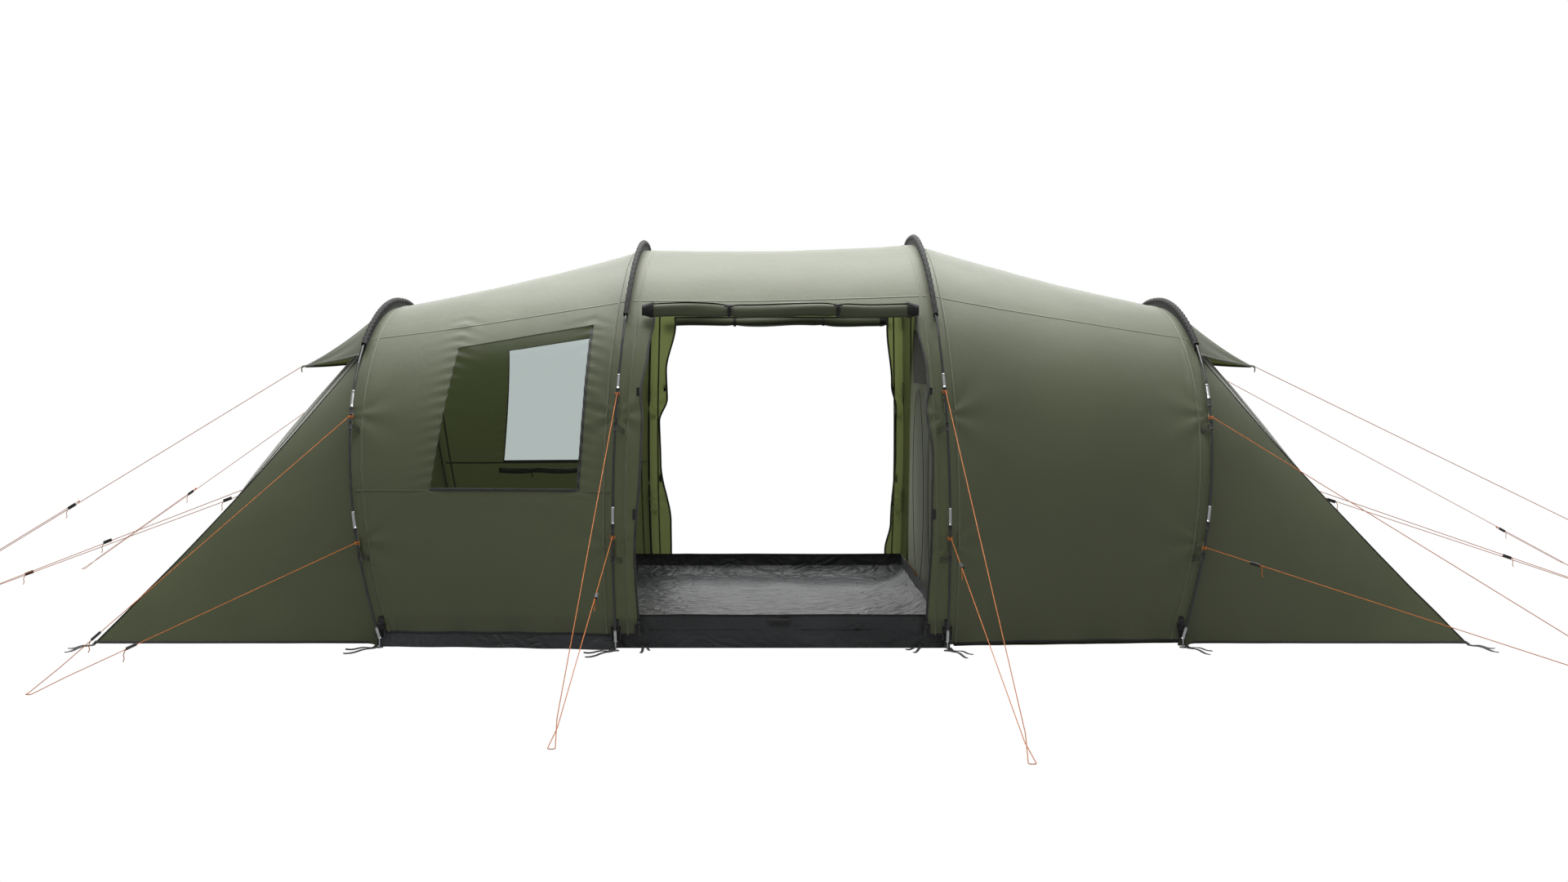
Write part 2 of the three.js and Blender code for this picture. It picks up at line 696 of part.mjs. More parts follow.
// The route of a guyline: straight down towards its peg and round it, then straight back, either to
// its other end on the tent or, beside the first leg, to the slider that holds its end.
function guyRoute({ from, peg, to, down }) {
  const gather = peg.clone().addScaledVector(directionTo(peg, from), PEG_SPREAD);
  const flat = directionTo(from, peg).setZ(0).normalize();
  const side = new THREE.Vector3().crossVectors(flat, UP);
  const held = slotOffset(from, peg);
  const end = down[0] - RUNNER.length / from.distanceTo(peg);
  const last = to ?? from.clone().lerp(peg, end).add(held);
  const back = to ? peg.clone().addScaledVector(directionTo(peg, to), PEG_SPREAD) : gather.clone().add(held);
  if (side.dot(back.clone().sub(gather)) > 0) {
    side.negate();
  }
  const points = [0, 1 / 3, 2 / 3, 1].map((t) => from.clone().lerp(gather, t));
  for (let k = 0; k <= 6; k++) {
    const angle = (Math.PI * k) / 6;
    const turn = side.clone().multiplyScalar(Math.cos(angle)).addScaledVector(flat, Math.sin(angle));
    points.push(peg.clone().addScaledVector(turn, PEG_LOOP));
  }
  return [...points, ...[0, 1 / 3, 2 / 3, 1].map((t) => back.clone().lerp(last, t))];
}

const PEG_HEIGHT = 4; // of a guyline's middle at its peg
const point = (x, y, z) => new THREE.Vector3(x, y, z);

// Each guyline: where it starts, its peg and where it ends, if that is on the tent too. `down` gives
// the places of its sliders on the first leg and `up` on the second, as shares of the way to the peg.
const guylines = [
  { name: 'near_1', from: point(-2034, -1032, 1058), peg: point(-2977, -2300, PEG_HEIGHT),
    to: point(-1962, -1203, 480), down: [0.82], up: [0.72] },
  { name: 'near_2', from: point(-761, -1145, 1168), peg: point(-804, -3220, PEG_HEIGHT),
    to: point(-770, -1298, 515), down: [], up: [0.34] },
  { name: 'near_3', from: point(764, -1148, 1178), peg: point(788, -3430, PEG_HEIGHT),
    to: point(772, -1299, 510), down: [], up: [0.16] },
  { name: 'near_4', from: point(2034, -1032, 1054), peg: point(3440, -2380, PEG_HEIGHT),
    to: point(1962, -1206, 457), down: [], up: [0.12] },
  { name: 'far_1', from: point(-2036, 651, 1502), peg: point(-4400, 1700, PEG_HEIGHT),
    down: [0.66], up: [] },
  { name: 'far_4', from: point(2036, 651, 1502), peg: point(5090, 1700, PEG_HEIGHT),
    down: [0.82], up: [] },
  { name: 'hood_left', from: point(-2545, 0, 1290), peg: point(-4650, 0, PEG_HEIGHT),
    down: [0.58], up: [] },
  { name: 'hood_right', from: point(2545, 0, 1290), peg: point(5180, 0, PEG_HEIGHT),
    down: [0.8], up: [] },
  { name: 'end_left', from: point(-2800, -50, 655), peg: point(-4500, 90, PEG_HEIGHT),
    to: point(-2822, 60, 625), down: [0.46], up: [0.08, 0.72] },
  { name: 'end_right', from: point(2800, -50, 655), peg: point(4700, 90, PEG_HEIGHT),
    to: point(2822, 60, 625), down: [0.58], up: [0.08] },
];

// A plastic slider with two holes: the guyline runs through the first.
function runnerSolid() {
  const shape = new THREE.Shape();
  const [w, t] = [RUNNER.width / 2, RUNNER.thickness / 2];
  shape.moveTo(-w + t, -t);
  shape.absarc(w - t, 0, t, -Math.PI / 2, Math.PI / 2, false);
  shape.absarc(-w + t, 0, t, Math.PI / 2, (3 * Math.PI) / 2, false);
  for (const x of [-RUNNER.spacing / 2, RUNNER.spacing / 2]) {
    shape.holes.push(new THREE.Path().absarc(x, 0, RUNNER.bore, 0, 2 * Math.PI, true));
  }
  const depth = RUNNER.length;
  const body = new THREE.ExtrudeGeometry(shape, { depth, curveSegments: 4, bevelEnabled: false });
  return body.translate(RUNNER.spacing / 2, 0, -depth / 2);
}

function addRunner(name, from, to, share) {
  const mesh = add(name, runnerSolid(), PLASTIC);
  mesh.quaternion.setFromUnitVectors(UP, directionTo(from, to));
  mesh.position.lerpVectors(from, to, share);
}

for (const line of guylines) {
  const route = guyRoute(line);
  add(`guyline_${line.name}`, rod(new RouteCurve(route), CORD_RADIUS, route.length - 1), ORANGE);
  const places = [
    ...line.down.map((share) => [line.from, share]),
    ...line.up.map((share) => [line.to, share]),
  ];
  places.forEach(([from, share], k) => addRunner(`slider_${line.name}_${k + 1}`, from, line.peg, share));
}

export default tent;
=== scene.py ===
# A pitched four-hoop tunnel tent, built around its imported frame: cloth with its folds and seams,
# clear windows, ferrules, clips, zips, webbing and guylines. Metres, +Z up. "Near" is the -Y side.

import math

import bpy
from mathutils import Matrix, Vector, noise


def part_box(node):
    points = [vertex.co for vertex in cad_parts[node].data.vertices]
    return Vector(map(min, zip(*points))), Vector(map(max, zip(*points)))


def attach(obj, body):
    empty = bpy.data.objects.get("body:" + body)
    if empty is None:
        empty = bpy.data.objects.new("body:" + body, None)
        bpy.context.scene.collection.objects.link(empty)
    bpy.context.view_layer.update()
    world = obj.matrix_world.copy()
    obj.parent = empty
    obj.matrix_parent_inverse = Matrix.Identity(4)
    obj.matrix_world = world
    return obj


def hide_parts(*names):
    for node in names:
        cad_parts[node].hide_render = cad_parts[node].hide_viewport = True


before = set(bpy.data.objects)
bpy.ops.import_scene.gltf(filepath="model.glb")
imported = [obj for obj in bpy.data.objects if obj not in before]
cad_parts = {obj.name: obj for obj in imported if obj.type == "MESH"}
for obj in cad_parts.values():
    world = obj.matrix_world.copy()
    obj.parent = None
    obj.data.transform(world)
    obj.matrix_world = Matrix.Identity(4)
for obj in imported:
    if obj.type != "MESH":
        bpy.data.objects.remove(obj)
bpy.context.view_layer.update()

TENT = "tent"  # the body that everything but the sliders rides on
UP = Vector((0, 0, 1))
ALONG = Vector((1, 0, 0))  # the tent's long axis
ACROSS = Vector((0, 1, 0))
OUT = {"near": -1, "far": 1}  # the Y direction that each long side faces


# ---- Camera --------------------------------------------------------------------------------------

def add_object(name, data):
    """A new object in the scene."""
    thing = bpy.data.objects.new(name, data)
    bpy.context.scene.collection.objects.link(thing)
    return thing


def make_camera():
    data = bpy.data.cameras.new("camera")
    data.lens = 37.875
    data.sensor_width = 36
    data.shift_x = 0.0156
    data.shift_y = -0.0484
    camera = add_object("camera", data)
    camera.location = (-0.1, -8.8, 1.3)
    camera.rotation_euler = (math.radians(90), 0, 0)
    bpy.context.scene.camera = camera


make_camera()


# ---- Materials -----------------------------------------------------------------------------------

class Nodes:
    """A new material and short ways to add nodes to it."""

    def __init__(self, name):
        self.material = bpy.data.materials.new(name)
        self.material.use_nodes = True
        self.tree = self.material.node_tree
        self.tree.nodes.clear()
        self.output = self.tree.nodes.new("ShaderNodeOutputMaterial")
        self.coords = self.tree.nodes.new("ShaderNodeTexCoord").outputs["Object"]

    def add(self, kind, **inputs):
        node = self.tree.nodes.new(kind)
        for socket, value in inputs.items():
            self.set(node, socket.replace("_", " "), value)
        return node

    def set(self, node, socket, value):
        if isinstance(value, bpy.types.NodeSocket):
            self.tree.links.new(value, node.inputs[socket])
        else:
            node.inputs[socket].default_value = value

    def noise(self, scale, detail=3.0, roughness=0.5, stretch=(1, 1, 1)):
        place = self.add("ShaderNodeMapping", Vector=self.coords, Scale=stretch)
        texture = self.add("ShaderNodeTexNoise", Scale=scale, Detail=detail, Roughness=roughness)
        self.set(texture, "Vector", place.outputs["Vector"])
        return texture.outputs["Fac"]

    def bands(self, scale, axis):
        texture = self.add("ShaderNodeTexWave", Scale=scale, Vector=self.coords)
        texture.bands_direction = axis
        return texture.outputs["Fac"]

    def math(self, operation, a, b):
        node = self.add("ShaderNodeMath")
        node.operation = operation
        self.set(node, 0, a)
        self.set(node, 1, b)
        return node.outputs["Value"]

    def ramp(self, value, low, high, start=0.35, end=0.65):
        node = self.add("ShaderNodeValToRGB", Fac=value)
        for element, place, colour in zip(node.color_ramp.elements, (start, end), (low, high)):
            element.position = place
            element.color = (*colour, 1)
        return node.outputs["Color"]

    def bump(self, height, distance, strength=1.0, under=None):
        node = self.add("ShaderNodeBump", Height=height, Distance=distance, Strength=strength)
        if under is not None:
            self.set(node, "Normal", under)
        return node.outputs["Normal"]

    def principled(self, **inputs):
        return self.add("ShaderNodeBsdfPrincipled", **inputs)

    def spread(self, value, low, high):
        """A value from 0 to 1, as one from low to high."""
        return self.add("ShaderNodeMapRange", Value=value, To_Min=low, To_Max=high).outputs["Result"]

    def blend(self, share, first, second):
        """`first` where the share is 0, and `second` where it is 1."""
        node = self.add("ShaderNodeMixShader", Fac=share)
        self.set(node, 1, first.outputs[0])
        self.set(node, 2, second.outputs[0])
        return node

    def finish(self, shader):
        self.set(self.output, "Surface", shader.outputs[0])
        return self.material


CLOTH_THREADS = 900  # in a metre
SHEETING_THREADS = 500


def shade(colour, factor):
    return tuple(min(1.0, c * factor) for c in colour)


def weave(nodes, threads_per_metre, under):
    """Plain weave: two sets of threads, as fine bump on top of `under`."""
    # A Wave Texture repeats every 2 pi / 20 of its scaled coordinate.
    scale = threads_per_metre * math.pi / 10
    crossing = nodes.math("MULTIPLY", nodes.bands(scale, "X"), nodes.bands(scale, "Z"))
    return nodes.bump(crossing, 0.0002, 0.35, under)


def cloth(name, colour, glow=None, glow_share=0.3, roughness=0.55, sheen=0.35, crease=0.0022):
    """Coated tent cloth: slightly uneven colour, soft creases, weave and sheen. `glow` is the colour
    of daylight that comes through it."""
    nodes = Nodes(name)
    tint = nodes.ramp(nodes.noise(1.3, 4.0), shade(colour, 0.93), shade(colour, 1.07))
    large = nodes.bump(nodes.noise(4.0, 4.0, 0.55, (1, 1, 0.55)), crease)
    small = nodes.bump(nodes.noise(23.0, 3.0, 0.6, (1.4, 1.4, 0.5)), crease * 0.32, 1.0, large)
    normal = weave(nodes, CLOTH_THREADS, small)
    rough = nodes.spread(nodes.noise(60.0, 2.0), roughness - 0.05, roughness + 0.07)
    surface = nodes.principled(Base_Color=tint, Normal=normal, Roughness=rough, Sheen_Weight=sheen,
                               Sheen_Roughness=0.35, Specular_IOR_Level=0.45)
    if glow is None:
        return nodes.finish(surface)
    through = nodes.add("ShaderNodeBsdfTranslucent", Color=(*glow, 1), Normal=normal)
    return nodes.finish(nodes.blend(glow_share, surface, through))


def sheeting(name, colour, roughness=0.34, crumple=0.006):
    """Woven polyethylene sheet: crumpled all over and slightly glossy."""
    nodes = Nodes(name)
    tint = nodes.ramp(nodes.noise(3.0, 5.0), shade(colour, 0.8), shade(colour, 1.15))
    place = nodes.add("ShaderNodeMapping", Vector=nodes.coords, Scale=(1.0, 1.6, 1.6))
    bend = nodes.add("ShaderNodeTexNoise", Vector=place.outputs["Vector"], Scale=2.5, Detail=2.0)
    creases = nodes.add("ShaderNodeTexVoronoi", Scale=9.0, Vector=bend.outputs["Color"])
    creases.feature = "DISTANCE_TO_EDGE"
    folded = nodes.bump(creases.outputs["Distance"], crumple)
    rumpled = nodes.bump(nodes.noise(14.0, 5.0, 0.6), crumple * 0.8, 1.0, folded)
    normal = weave(nodes, SHEETING_THREADS, rumpled)
    surface = nodes.principled(Base_Color=tint, Roughness=roughness, Normal=normal,
                               Specular_IOR_Level=0.3)
    return nodes.finish(surface)


def webbing(name, colour, roughness=0.75):
    """Flat woven webbing and zip tape: coarse ribs."""
    nodes = Nodes(name)
    tint = nodes.ramp(nodes.noise(90.0, 2.0), shade(colour, 0.75), shade(colour, 1.25))
    ribs = nodes.math("ADD", nodes.bands(190.0, "DIAGONAL"), nodes.bands(260.0, "Z"))
    surface = nodes.principled(Base_Color=tint, Roughness=roughness, Normal=nodes.bump(ribs, 0.0004),
                               Sheen_Weight=0.2)
    return nodes.finish(surface)


def braid(name, colour):
    """Braided cord: a diagonal pattern along its length."""
    nodes = Nodes(name)
    tint = nodes.ramp(nodes.bands(330.0, "DIAGONAL"), shade(colour, 0.8), shade(colour, 1.1), 0.2, 0.8)
    normal = nodes.bump(nodes.bands(330.0, "DIAGONAL"), 0.0005)
    surface = nodes.principled(Base_Color=tint, Roughness=0.6, Normal=normal, Sheen_Weight=0.05)
    return nodes.finish(surface)


def moulded(name, colour, roughness=0.42):
    """Moulded plastic with a fine spark-eroded grain."""
    nodes = Nodes(name)
    tint = nodes.ramp(nodes.noise(30.0, 3.0), shade(colour, 0.9), shade(colour, 1.15))
    normal = nodes.bump(nodes.noise(900.0, 2.0), 0.0002)
    surface = nodes.principled(Base_Color=tint, Roughness=roughness, Normal=normal)
    return nodes.finish(surface)


def drawn_fibre(name, colour):
    """Pultruded fibreglass: fine lengthwise fibres under a smooth resin skin."""
    nodes = Nodes(name)
    fibres = nodes.noise(160.0, 3.0, 0.6, (1.0, 1.0, 0.06))
    tint = nodes.ramp(fibres, shade(colour, 0.7), shade(colour, 1.5))
    surface = nodes.principled(Base_Color=tint, Roughness=0.32, Normal=nodes.bump(fibres, 0.0002),
                               Coat_Weight=0.3)
    return nodes.finish(surface)


def brushed(name, colour):
    """Zinc-plated or brushed steel."""
    nodes = Nodes(name)
    streaks = nodes.noise(220.0, 3.0, 0.6, (1.0, 1.0, 0.15))
    rough = nodes.spread(streaks, 0.26, 0.42)
    tint = nodes.ramp(streaks, shade(colour, 0.9), shade(colour, 1.05))
    surface = nodes.principled(Base_Color=tint, Metallic=1.0, Roughness=rough)
    return nodes.finish(surface)


def clear_film(name, tint):
    """Clear window film, with the faint haze and ripples of soft vinyl."""
    nodes = Nodes(name)
    ripples = nodes.bump(nodes.noise(5.0, 3.0), 0.003)
    clear = nodes.add("ShaderNodeBsdfTransparent", Color=(*tint, 1))
    gloss = nodes.add("ShaderNodeBsdfGlossy", Roughness=0.28, Normal=ripples)
    facing = nodes.add("ShaderNodeFresnel", IOR=1.25, Normal=ripples)
    return nodes.finish(nodes.blend(facing.outputs["Fac"], clear, gloss))


def netting(name, colour):
    """Fine black no-see-um mesh: holes between round threads."""
    nodes = Nodes(name)
    grid = nodes.math("MULTIPLY", nodes.bands(160.0, "Y"), nodes.bands(160.0, "Z"))
    threads = nodes.math("GREATER_THAN", grid, 0.62)
    surface = nodes.principled(Base_Color=(*colour, 1), Roughness=0.8)
    hole = nodes.add("ShaderNodeBsdfTransparent")
    return nodes.finish(nodes.blend(threads, surface, hole))


OLIVE = (0.084, 0.097, 0.050)
DAYLIGHT = (0.42, 0.50, 0.17)  # what comes through olive cloth

LOOKS = {  # the slot and the material of each look
    "outer": ("outer_fabric", cloth("outer_cloth", OLIVE, DAYLIGHT, 0.045, roughness=0.5, sheen=0.42)),
    # A lit copy of the outer cloth for the doorway's section: more than twice the daylight comes
    # through it, as painted backlight on the door jambs.
    "outer_lit": ("outer_fabric",
        cloth("outer_cloth_lit_at_doors", OLIVE, DAYLIGHT, 0.10, roughness=0.5, sheen=0.42)),
    # A darker copy of the outer cloth with less sheen: painted shade on the hoods, which face up into
    # the top light.
    "hood": ("outer_fabric",
        cloth("hood_cloth", shade(OLIVE, 0.85), DAYLIGHT, 0.04, roughness=0.6, sheen=0.12)),
    # A darker copy of the outer cloth, with less sheen and no daylight through it: painted shade on the
    # rolled doors.
    "door": ("outer_fabric", cloth("door_cloth", shade(OLIVE, 0.78), sheen=0.2)),
    "inner": ("inner_fabric",
        cloth("inner_cloth", (0.16, 0.18, 0.10), (0.6, 0.64, 0.3), 0.3, roughness=0.75, sheen=0.2)),
    "sleeve": ("dark_fabric",
        cloth("sleeve_cloth", (0.012, 0.0125, 0.012), roughness=0.8, sheen=0.03, crease=0.004)),
    "curtain": ("dark_fabric", cloth("curtain_cloth", (0.05, 0.058, 0.035), roughness=0.6)),
    "floor": ("groundsheet", sheeting("floor_sheeting", (0.035, 0.038, 0.040), 0.44, 0.020)),
    "wall": ("groundsheet", sheeting("wall_sheeting", (0.042, 0.044, 0.047), 0.40, 0.012)),
    "black": ("black_webbing", webbing("black_webbing", (0.012, 0.012, 0.012))),
    "zip": ("black_webbing", webbing("zip_tape", (0.015, 0.016, 0.014), 0.6)),
    # A lighter copy of the outer cloth with more sheen: a painted highlight on the raised edge seams
    # and the end patches.
    "edge": ("outer_fabric", cloth("raised_cloth_painted_highlight", shade(OLIVE, 1.12), roughness=0.5, sheen=0.5)),
    # A darker copy of the outer cloth: painted shade along the seams, the window's stitching and the
    # hoods' edges.
    "seam": ("outer_fabric", cloth("seam_cloth_painted_shade", shade(OLIVE, 0.8), roughness=0.5, sheen=0.4)),
    "orange": ("orange_cord", braid("orange_braid", (0.62, 0.16, 0.008))),
    "plastic": ("black_plastic", moulded("black_plastic", (0.012, 0.012, 0.013))),
    "fibre": ("fibreglass", drawn_fibre("fibreglass", (0.02, 0.021, 0.023))),
    "steel": ("steel", brushed("steel", (0.55, 0.56, 0.57))),
    "film": ("clear_window", clear_film("window_film", (0.655, 0.70, 0.69))),
    "mesh": ("black_webbing", netting("black_mesh", (0.01, 0.01, 0.01))),
}


# ---- Meshes --------------------------------------------------------------------------------------

def dress(piece, look, body=TENT):
    """Gives a piece its material and the body that it rides on."""
    slot, material = LOOKS[look]
    piece.data.materials.append(material)
    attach(piece, body)
    return piece


class Mesh:
    """Points and faces that grow piece by piece into one object."""

    def __init__(self):
        self.points = []
        self.faces = []

    def grid(self, rows, keep=None, closed=False):
        """A sheet through rows of points. `keep` says which faces are there."""
        first = len(self.points)
        width = len(rows[0])
        for row in rows:
            self.points.extend(row)
        for i in range(len(rows) - 1):
            for j in range(width if closed else width - 1):
                if keep and not keep(i, j):
                    continue
                a = first + i * width + j
                b = first + i * width + (j + 1) % width
                self.faces.append((a, b, b + width, a + width))
        return self

    def sweep(self, path, outline, up=UP):
        """An outline carried along a path, with its second axis towards `up`, and closed ends."""
        rings = []
        last = len(path) - 1
        for k, centre in enumerate(path):
            along = (path[min(k + 1, last)] - path[max(k - 1, 0)]).normalized()
            upward = up[k] if isinstance(up, list) else up
            side = along.cross(upward).normalized()
            normal = side.cross(along)
            rings.append([centre + (side * x + normal * y) for x, y in outline])
        first = len(self.points)
        self.grid(rings, closed=True)
        self.faces.append(tuple(range(first, first + len(outline))))
        self.faces.append(tuple(range(len(self.points) - 1, len(self.points) - 1 - len(outline), -1)))
        return self

    def object(self, name, look, body=TENT, replaces=()):
        """The finished object. Points that no face uses are dropped."""
        used = sorted({k for face in self.faces for k in face})
        place = {old: new for new, old in enumerate(used)}
        data = bpy.data.meshes.new(name)
        points = [tuple(self.points[k]) for k in used]
        data.from_pydata(points, [], [[place[k] for k in face] for face in self.faces])
        data.polygons.foreach_set("use_smooth", [True] * len(data.polygons))
        data.update()
        piece = dress(add_object(name, data), look, body)
        if replaces:
            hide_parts(*replaces)
        return piece


def on_side(share, side):
    """A share counted from the near foot, for the same height on the given side."""
    return share if side == "near" else 1 - share


def evenly(low, high, count):
    """count + 1 even values from low to high."""
    return [mix(low, high, k / count) for k in range(count + 1)]


def column(rows, k):
    return [row[k] for row in rows]


def circle(radius, sides):
    angles = [2 * math.pi * k / sides for k in range(sides)]
    return [(radius * math.cos(a), radius * math.sin(a)) for a in angles]


def flat(width, thickness):
    """The section of a strap, with rounded edges."""
    w, t = width / 2, thickness / 2
    return [(-w, 0), (-w + t, -t), (w - t, -t), (w, 0), (w - t, t), (-w + t, t)]


def mix(a, b, t):
    return a + (b - a) * t


def smooth_step(t):
    t = min(1.0, max(0.0, t))
    return t * t * (3 - 2 * t)


def between(stops, z):
    """The value at height z of a curve through (z, value) stops."""
    for (z0, v0), (z1, v1) in zip(stops, stops[1:]):
        if z <= z1:
            return mix(v0, v1, smooth_step((z - z0) / (z1 - z0)))
    return stops[-1][1]


def spaced(path, count):
    """The path again, with `count` even steps."""
    lengths = [0.0]
    for a, b in zip(path, path[1:]):
        lengths.append(lengths[-1] + (b - a).length)
    result = []
    k = 0
    for step in range(count + 1):
        goal = lengths[-1] * step / count
        while k < len(path) - 2 and lengths[k + 1] < goal:
            k += 1
        part = (goal - lengths[k]) / max(1e-9, lengths[k + 1] - lengths[k])
        result.append(path[k].lerp(path[k + 1], min(1.0, part)))
    return result


def path_length(path):
    return sum((b - a).length for a, b in zip(path, path[1:]))


# ---- Guylines ------------------------------------------------------------------------------------

CORD = 0.0035
PEG_Z = 0.004  # a guyline's middle at its peg
PEG_LOOP = 0.013
PEG_SPREAD = 0.15  # from the peg to where a guyline opens into its loop
RUNNER_LENGTH = 0.046
RUNNER_SPACING = 0.007
KNOT_SIZE = 0.008

# Each guyline as in the CAD part: its start, its peg, and its other end on the tent, if it has one.
# `down` gives the places of its sliders on the first leg and `up` on the second.
GUYLINES = [
    {"name": "near_1", "from": (-2.034, -1.032, 1.058), "peg": (-2.977, -2.300, PEG_Z),
     "to": (-1.962, -1.203, 0.480), "down": [0.82], "up": [0.72]},
    {"name": "near_2", "from": (-0.761, -1.145, 1.168), "peg": (-0.804, -3.220, PEG_Z),
     "to": (-0.770, -1.298, 0.515), "down": [], "up": [0.34]},
    {"name": "near_3", "from": (0.764, -1.148, 1.178), "peg": (0.788, -3.430, PEG_Z),
     "to": (0.772, -1.299, 0.510), "down": [], "up": [0.16]},
    {"name": "near_4", "from": (2.034, -1.032, 1.054), "peg": (3.440, -2.380, PEG_Z),
     "to": (1.962, -1.206, 0.457), "down": [], "up": [0.12]},
    {"name": "far_1", "from": (-2.036, 0.651, 1.502), "peg": (-4.400, 1.700, PEG_Z),
     "down": [0.66], "up": []},
    {"name": "far_4", "from": (2.036, 0.651, 1.502), "peg": (5.090, 1.700, PEG_Z),
     "down": [0.82], "up": []},
    {"name": "hood_left", "from": (-2.545, 0, 1.290), "peg": (-4.650, 0, PEG_Z),
     "down": [0.58], "up": []},
    {"name": "hood_right", "from": (2.545, 0, 1.290), "peg": (5.180, 0, PEG_Z),
     "down": [0.8], "up": []},
    {"name": "end_left", "from": (-2.800, -0.050, 0.655), "peg": (-4.500, 0.090, PEG_Z),
     "to": (-2.822, 0.060, 0.625), "down": [0.46], "up": [0.08, 0.72]},
    {"name": "end_right", "from": (2.800, -0.050, 0.655), "peg": (4.700, 0.090, PEG_Z),
     "to": (2.822, 0.060, 0.625), "down": [0.58], "up": [0.08]},
]


def guy_route(start, peg, end, down):
    """Straight down to the peg, round it, and back to the other end, or up beside the first leg to
    the slider that holds the cord's end."""
    down_way = (peg - start).normalized()
    gather = peg - down_way * PEG_SPREAD
    level = Vector((down_way.x, down_way.y, 0)).normalized()
    side = level.cross(UP)
    if end is None:
        across = UP.rotation_difference(down_way) @ Vector((RUNNER_SPACING, 0, 0))
        last = start.lerp(peg, down[0] - RUNNER_LENGTH / (peg - start).length) + across
        back = gather + across
    else:
        last = end
        back = peg + (end - peg).normalized() * PEG_SPREAD
    if side.dot(back - gather) > 0:
        side.negate()
    route = [start.lerp(gather, k / 3) for k in range(4)]
    for k in range(7):
        angle = math.pi * k / 6
        route.append(peg + (side * math.cos(angle) + level * math.sin(angle)) * PEG_LOOP)
    return route + [back.lerp(last, k / 3) for k in range(4)]


def cord_curve(name, route, diameter, look):
    data = bpy.data.curves.new(name, "CURVE")
    data.dimensions = "3D"
    data.bevel_depth = diameter / 2
    data.bevel_resolution = 2
    spline = data.splines.new("POLY")
    spline.points.add(len(route) - 1)
    for target, p in zip(spline.points, route):
        target.co = (*p, 1)
    return dress(add_object(name, data), look)


def knot(name, centre, along):
    """An overhand knot, as a lump of cord wound one and a half times round itself."""
    side = along.orthogonal().normalized()
    other = along.cross(side)
    path = []
    for k in range(19):
        turn = 3 * math.pi * k / 18
        drift = along * KNOT_SIZE * (k / 18 - 0.5) * 1.3
        around = side * math.cos(turn) + other * math.sin(turn)
        path.append(centre + drift + around * KNOT_SIZE * 0.45)
    return Mesh().sweep(path, circle(CORD / 2, 6), along).object(name, "orange")


def slider_tail(name, place, along, body):
    """The loose end of cord that hangs from a slider."""
    start = place + along * RUNNER_LENGTH * 0.4
    away = Vector((along.x, along.y, 0)).normalized()
    path = [start, start + away * 0.010 - UP * 0.008, start + away * 0.016 - UP * 0.024]
    path += [start + away * 0.012 - UP * 0.040, start + away * 0.018 - UP * 0.052]
    return Mesh().sweep(spaced(path, 10), circle(CORD / 2, 6), away).object(name, "orange", body)


def make_guylines():
    for line in GUYLINES:
        name = "guyline_" + line["name"]
        start, peg = Vector(line["from"]), Vector(line["peg"])
        end = Vector(line["to"]) if "to" in line else None
        route = guy_route(start, peg, end, line["down"])
        piece = cord_curve("cord_" + line["name"], route, CORD, "orange")
        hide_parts(name)
        going = []
        places = [(start, share) for share in line["down"]] + [(end, share) for share in line["up"]]
        for k, (top, share) in enumerate(places):
            slider = f"slider_{line['name']}_{k + 1}"
            along = (peg - top).normalized()
            tail = slider_tail(f"tail_{line['name']}_{k + 1}", top.lerp(peg, share), along, slider)
            going += [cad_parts[slider], tail]
        if end is None:
            going.append(knot(f"knot_{line['name']}", route[-1], (peg - start).normalized()))
        path_length(route)


make_guylines()


# ---- The hoops' arches ---------------------------------------------------------------------------

ARCH_POWER = 2.4
POLE_RADIUS = 0.0055
POLE_FOOT = 0.046  # the poles' lower ends
STANDOFF_SIDE = 0.036  # pole centre to outer tent, at the sides
STANDOFF_TOP = 0.042
ROOF_SAG = 0.016
WALL_SAG = 0.022
HEM = {"living": 0.062, "bedroom": 0.024, "end": 0.009}
SLEEVE_END = 1.335
SLEEVE_ENDS = {1: 1.40, 2: 1.54, 3: 1.54, 4: 1.40}  # how low each hoop's sleeve reaches


def tall_bow(q):
    return 0.027 * math.sin(math.pi * q) - 0.048 * q * q


def low_bow(q):
    return 0.215 * (1 - (1 - q) ** 2.5) - 0.042 * q ** 6


def clamp(x, low=0.0, high=1.0):
    return min(high, max(low, x))


class Hoop:
    """One pole's arch. A share of 0 is its near foot, and 1 its far foot."""

    def __init__(self, number, side, bow):
        self.number = number
        self.side = side
        self.bow = bow
        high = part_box(f"hoop_{number}")[1]
        self.half = high.y - POLE_RADIUS
        self.height = high.z - POLE_RADIUS
        low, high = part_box(f"foot_pin_near_{number}")
        self.foot = abs(low.x + high.x) / 2 - bow(POLE_FOOT / self.height)

    def x(self, rise):
        """The arch's X where it is at this share of its own height."""
        return self.side * (self.foot + self.bow(rise))

    def rise(self, share):
        return max(0.0, math.sin(math.pi * share)) ** (2 / ARCH_POWER)

    def point(self, share, inset=0.0):
        """A point of the arch. inset 0 is the pole's centre, and 1 the outer tent's face."""
        cosine = math.cos(math.pi * share)
        across = abs(cosine) ** (2 / ARCH_POWER)
        rise = self.rise(share)
        y = -math.copysign(across, cosine) * (self.half - inset * STANDOFF_SIDE)
        return Vector((self.x(rise), y, (self.height - inset * STANDOFF_TOP) * rise))

    def share_at(self, z, inset=0.0):
        rise = clamp(z / (self.height - inset * STANDOFF_TOP))
        return math.asin(rise ** (ARCH_POWER / 2)) / math.pi


